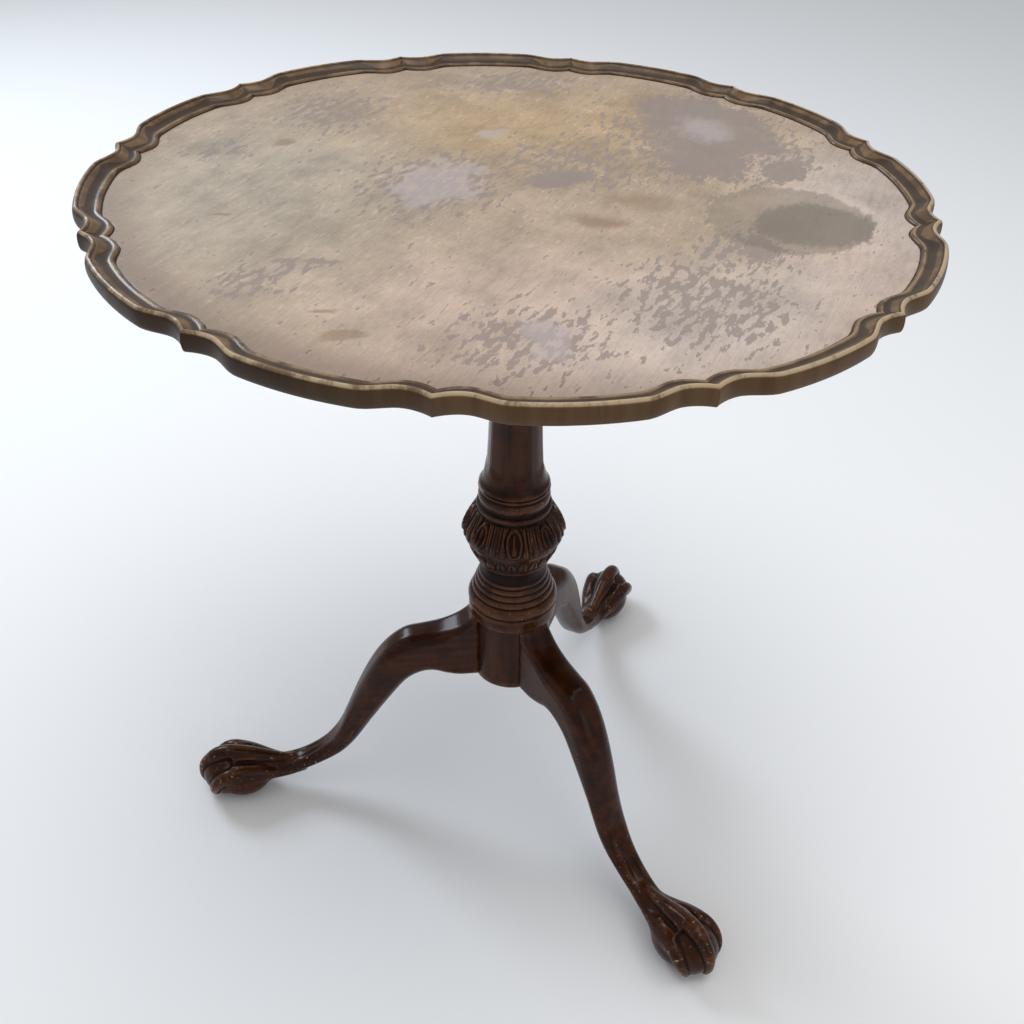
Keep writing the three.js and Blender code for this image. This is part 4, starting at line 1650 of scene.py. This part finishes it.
    def moulding(self, paint: Paint, fields: TopFields, inset: Wire) -> Wire:
        """The rim: polish in its hollows, worn to pale wood on its crest and bead, with painted
        shade on the left of its outer wall.

        Args:
            paint: The material.
            fields: The top's noises.
            inset: The distance in from the outline, in millimetres.

        Returns:
            Its colour.
        """
        x, y, rub = fields.x, fields.y, fields.rub
        ridge = paint.attribute("ridge")
        level = paint.attribute("level")
        wall = inset.rise(1.9, 0.6) * level.rise(712.2, 711.0)
        # painted shade: the outer wall is made darker on its left side
        painted_shade_left = ((x * -0.95 + y * -0.30) / TOP_REACH).rise(0.35, 0.85)
        sunny = ((x * 0.86 + y * -0.5) / TOP_REACH).rise(-0.3, 0.9)
        hollow = ridge.rise(0.46, 0.38) * inset.rise(3.0, 3.6)
        foot = level.rise(700.5, 697.0) * inset.rise(3.5, 2.0)
        crest = inset.rise(0.3, 1.2) * inset.rise(4.4, 3.9) * level.rise(710.5, 711.8)
        bead = inset.rise(16.2, 17.0) * inset.rise(18.8, 18.0)
        keen = (rub * 0.75 + fields.specks * 0.25 + sunny * 0.13).rise(0.46, 0.62)
        return paint.layered(
            self.rim,
            (rub.rise(0.35, 0.7) * 0.75, self.rim_light),
            (wall * 0.6, self.rim),
            # painted shade on the left of the outer wall
            (wall * painted_shade_left * 0.75, self.rim_dark),
            (hollow * 0.75, self.rim_dark),
            (foot * 0.55, self.rim_dark),
            (crest * (0.18 + 0.72 * keen), self.worn),
            (bead * 0.35 * keen, self.worn),
        )

    def make(self) -> bpy.types.Material:
        """Builds the material."""
        paint = Paint("bleached_top")
        fields = self.fields(paint)
        flat, loose, fibre, crumbs = fields.flat, fields.loose, fields.fibre, fields.crumbs
        cloud = fields.cloud - 0.5
        ragged = cloud * 2.6 + (crumbs - 0.5) * 2.2

        # flakes of old polish, thick in the flaking places and scattered elsewhere
        thick = self.shape(paint, loose, self.flaking, cloud * 0.6)
        flakes = crumbs * 0.86 + fields.specks * 0.14 + thick * 0.13 + cloud * 0.12
        flakes = flakes.rise(0.605, 0.635)
        patch = self.shape(paint, flat, self.patches, ragged)
        patch = patch * (1.0 - crumbs.rise(0.58, 0.62) * 0.75)
        old = (patch * 0.85).larger(flakes * 0.78)
        milky = self.shape(paint, loose, self.milky, ragged * 0.7)
        # the round stain has a darker middle
        stain = self.shape(paint, flat, self.round_stain, ragged * 0.16)
        inner = self.shape(paint, flat, self.inner_stain, ragged * 0.28)
        brown = self.shape(paint, loose, self.brown_marks, cloud * 0.4)
        # the field is made darker along the foot of the moulding, most of all at the front left
        radius = paint.vector("LENGTH", flat)
        facing = ((fields.x * -0.72 + fields.y * -0.70) / TOP_REACH).rise(0.25, 0.95)
        shade = (radius + cloud * 60.0).rise(280.0, 318.0) * (0.15 + 0.95 * facing)

        inset = paint.attribute("inset")
        moulding = inset.rise(21.3, 20.6)
        crack = inset.rise(19.8, 20.5) * inset.rise(21.6, 21.2)
        below = fields.z.rise(697.2, 696.4) * inset.rise(4.5, 6.5)
        streaks = fields.figure.rise(0.3, 0.75) * 0.30 + fibre.rise(0.42, 0.66) * 0.38
        tone = paint.layered(
            self.ground(paint, fields),
            (old, self.flake),
            (milky * (0.35 + 0.45 * fields.specks), self.milk),
            (stain * (0.50 + 0.30 * inner), self.stain),
            (brown * 0.62, self.brown),
            (shade * flakes.larger(0.55), self.rim_foot_dark),
            (moulding, self.moulding(paint, fields, inset)),
            (crack * (0.45 + 0.5 * fields.rub.rise(0.45, 0.6)), self.rim_dark),
            (below, paint.mix(streaks, self.raw, self.rim_dark)),
        )
        rough = 0.47 - 0.10 * old + (fibre - 0.5) * 0.2 + 0.06 * stain
        rough = rough * (1.0 - moulding) + moulding * (0.34 + 0.24 * fields.rub) + below * 0.3
        height = fibre * 0.30 + crumbs * 0.2 + old * 0.55 - brown * 0.2
        return paint.finish(
            Base_Color=tone,
            Roughness=rough.clamped(),
            Normal=paint.bump(height, 0.22 * MM, 0.55),
            Specular_IOR_Level=0.22,
            Coat_Weight=moulding * inset.rise(1.6, 3.0) * 0.3,
            Coat_Roughness=0.18,
        )


@dataclass(frozen=True)
class MahoganyPolish:
    """Dark glossy mahogany, rubbed lighter on its edges, chipped, and grimy in its hollows."""

    wood: Colour = (0.029, 0.0072, 0.0022, 1)
    warm: Colour = (0.070, 0.0185, 0.0048, 1)
    dark: Colour = (0.0085, 0.0034, 0.0020, 1)
    rubbed: Colour = (0.135, 0.052, 0.020, 1)
    chip: Colour = (0.560, 0.420, 0.270, 1)
    grain_from_mesh: bool = True
    name: str = "mahogany_polish"

    def make(self) -> bpy.types.Material:
        """Builds the material."""
        paint = Paint(self.name)
        place = paint.place()
        grain = paint.attribute("grain", True) if self.grain_from_mesh else place
        stripes = paint.noise(paint.mapped(grain, (0.007, 0.09, 0.09)), 1.0, 5, 0.6)
        pores = paint.noise(paint.mapped(grain, (0.10, 1.7, 1.7)), 1.0, 3, 0.6)
        smears = paint.noise(place, 0.035, 4, 0.6)
        nicks = paint.noise(place, 0.27, 4, 0.6)
        tone = paint.layered(
            self.wood,
            (stripes.rise(0.36, 0.66) * 0.85, self.warm),
            (pores.rise(0.56, 0.68) * 0.55, self.dark),
            (smears.rise(0.55, 0.35) * 0.45, self.dark),
        )
        if self.grain_from_mesh:
            ridge = paint.attribute("ridge")
            hollow = ridge.rise(0.45, 0.30)
            rubbed = ridge.rise(0.57, 0.76) * (0.2 + 0.8 * smears.rise(0.42, 0.6))
            # chips are commonest near the floor
            low = paint.parts(place)[2].rise(120.0, 10.0)
            chips = ridge.rise(0.54, 0.70) * (nicks + 0.045 * low).rise(0.665, 0.69)
            tone = paint.layered(
                tone,
                (hollow * 0.9, self.dark),
                (rubbed * 0.6, self.rubbed),
                (chips * (0.25 + 0.65 * low), self.chip),
            )
            dull = hollow * 0.3 + chips * 0.35
        else:
            dull = smears * 0.1
        rough = 0.25 + (smears - 0.5) * 0.22 + dull
        height = pores * 0.5 + stripes * 0.3 + smears * 0.8
        return paint.finish(
            Base_Color=tone,
            Roughness=rough.clamped(),
            Normal=paint.bump(height, 0.25 * MM, 0.4),
            Coat_Weight=(0.15 - dull * 0.4).clamped(),
            Coat_Roughness=0.09,
            Specular_IOR_Level=0.10,
        )


@dataclass(frozen=True)
class DryWood:
    """Unpolished timber that is never seen from above."""

    wood: Colour = (0.150, 0.078, 0.044, 1)
    dark: Colour = (0.052, 0.026, 0.016, 1)
    dust: Colour = (0.270, 0.205, 0.150, 1)

    def make(self) -> bpy.types.Material:
        """Builds the material."""
        paint = Paint("dry_wood")
        place = paint.place()
        fibre = paint.noise(paint.mapped(place, (0.05, 1.3, 1.3)), 1.0, 4, 0.6)
        bands = paint.noise(paint.mapped(place, (0.006, 0.11, 0.11)), 1.0, 4, 0.6)
        dusty = paint.noise(place, 0.03, 4, 0.6)
        tone = paint.layered(
            self.wood,
            (bands.rise(0.35, 0.68), self.dark),
            (fibre.rise(0.52, 0.66) * 0.5, self.dark),
            (dusty.rise(0.5, 0.72) * 0.4, self.dust),
        )
        return paint.finish(
            Base_Color=tone,
            Roughness=(0.66 + (fibre - 0.5) * 0.3).clamped(),
            Normal=paint.bump(fibre * 0.7 + bands * 0.3, 0.3 * MM, 0.6),
        )


@dataclass(frozen=True)
class OldMetal:
    """Old metal: bright where handled, dull or rusty elsewhere."""

    name: str
    bright: Colour
    dull: Colour
    crust: Colour
    shine: float
    rough: float

    def make(self) -> bpy.types.Material:
        """Builds the material."""
        paint = Paint(self.name)
        place = paint.place()
        bloom = paint.noise(place, 0.12, 5, 0.65)
        specks = paint.noise(place, 0.9, 3, 0.6)
        scratches = paint.noise(paint.mapped(place, (0.15, 2.4, 2.4), 0.4), 1.0, 2, 0.5)
        crust = (bloom * 0.6 + specks * 0.4).rise(0.52, 0.64)
        tone = paint.mix(bloom.rise(0.35, 0.65), self.bright, self.dull)
        tone = paint.mix(crust * 0.8, tone, self.crust)
        return paint.finish(
            Base_Color=tone,
            Metallic=(self.shine - crust * 0.6).clamped(),
            Roughness=(self.rough + crust * 0.3 + (scratches - 0.5) * 0.2).clamped(),
            Normal=paint.bump(specks * 0.6 + scratches * 0.4, 0.06 * MM, 0.5),
        )


@dataclass(frozen=True)
class PaleFloor:
    """The plain pale floor."""

    tone: Colour = (0.93, 0.93, 0.93, 1)

    def make(self) -> bpy.types.Material:
        """Builds the material."""
        paint = Paint("pale_floor")
        return paint.finish(Base_Color=self.tone, Roughness=0.85, Specular_IOR_Level=0.1)


# ------------------------------------------------------------ camera and light


@dataclass
class Studio:
    """The camera, a plain pale floor and soft daylight from the back left."""

    camera_at: tuple[float, float, float] = (-0.095764, -0.931606, 1.081766)
    camera_turn: tuple[float, float, float] = (0.89393886, -0.05025719, -0.13524338)
    lens: float = 41.6308
    shift: tuple[float, float] = (-0.067408, 0.037766)
    floor_half: float = 14.0
    sky: float = 0.45

    def lamp(
        self, name: str, at: Sequence[float], towards: Sequence[float], size: float,
        power: float, tint: Sequence[float],
    ) -> None:
        """Adds one soft square lamp.

        Args:
            name: Its name.
            at: Where it hangs.
            towards: The point it faces.
            size: Its side in metres.
            power: Its power in watts.
            tint: Its colour.
        """
        light = bpy.data.lights.new(name, "AREA")
        light.size = size
        light.energy = power
        light.color = tint
        lamp = bpy.data.objects.new(name, light)
        lamp.location = at
        facing = Vector(towards) - Vector(at)
        lamp.rotation_euler = facing.to_track_quat("-Z", "Y").to_euler()
        bpy.context.scene.collection.objects.link(lamp)

    def build(self) -> None:
        """Sets up camera, floor, sky and lamps."""
        scene = bpy.context.scene
        scene.view_settings.view_transform = "Standard"
        view = bpy.data.cameras.new("camera")
        view.sensor_width = 36.0
        view.lens = self.lens
        view.shift_x, view.shift_y = self.shift
        camera = bpy.data.objects.new("camera", view)
        camera.location = self.camera_at
        camera.rotation_euler = self.camera_turn
        scene.collection.objects.link(camera)
        scene.camera = camera

        half = self.floor_half
        points = np.array([(-half, -half, 0), (half, -half, 0), (half, half, 0), (-half, half, 0)])
        floor = bpy.data.objects.new("floor", plain_mesh("floor", points, [(0, 1, 2, 3)]))
        scene.collection.objects.link(floor)
        floor.data.materials.append(PaleFloor().make())

        world = bpy.data.worlds.new("sky")
        world.use_nodes = True
        world.node_tree.nodes["Background"].inputs["Color"].default_value = (0.93, 0.96, 1.0, 1)
        world.node_tree.nodes["Background"].inputs["Strength"].default_value = self.sky
        scene.world = world
        self.lamp("window", (-1.9, 2.3, 2.2), (0, 0, 0.5), 1.2, 50.0, (0.78, 0.88, 1.0))
        self.lamp("overhead", (0.3, -0.2, 3.2), (0, 0, 0.6), 2.6, 46.0, (1.0, 0.98, 0.95))
        self.lamp("front_fill", (1.8, -2.4, 1.5), (0, 0, 0.35), 1.8, 7.0, (1.0, 0.97, 0.93))


# ------------------------------------------------------------ the table


def main() -> None:
    """Builds the table, piece by piece, and its studio."""
    Studio().build()
    polish = MahoganyPolish().make()
    pin_polish = MahoganyPolish(grain_from_mesh=False, name="mahogany_pins").make()
    inner = DryWood().make()
    brass = OldMetal(
        "old_brass", (0.62, 0.44, 0.18, 1), (0.30, 0.20, 0.085, 1), (0.10, 0.075, 0.045, 1),
        1.0, 0.36,
    ).make()
    iron = OldMetal(
        "black_iron", (0.075, 0.068, 0.062, 1), (0.035, 0.030, 0.027, 1),
        (0.115, 0.050, 0.024, 1), 0.85, 0.5,
    ).make()
    DishedTop().build(BleachedTop().make())
    CarvedPillar().build(polish)
    ClawLeg().build(polish, (180.0, 300.0, 60.0))
    dress_underworks(inner, pin_polish, brass, iron)


if __name__ == "__main__":
    main()
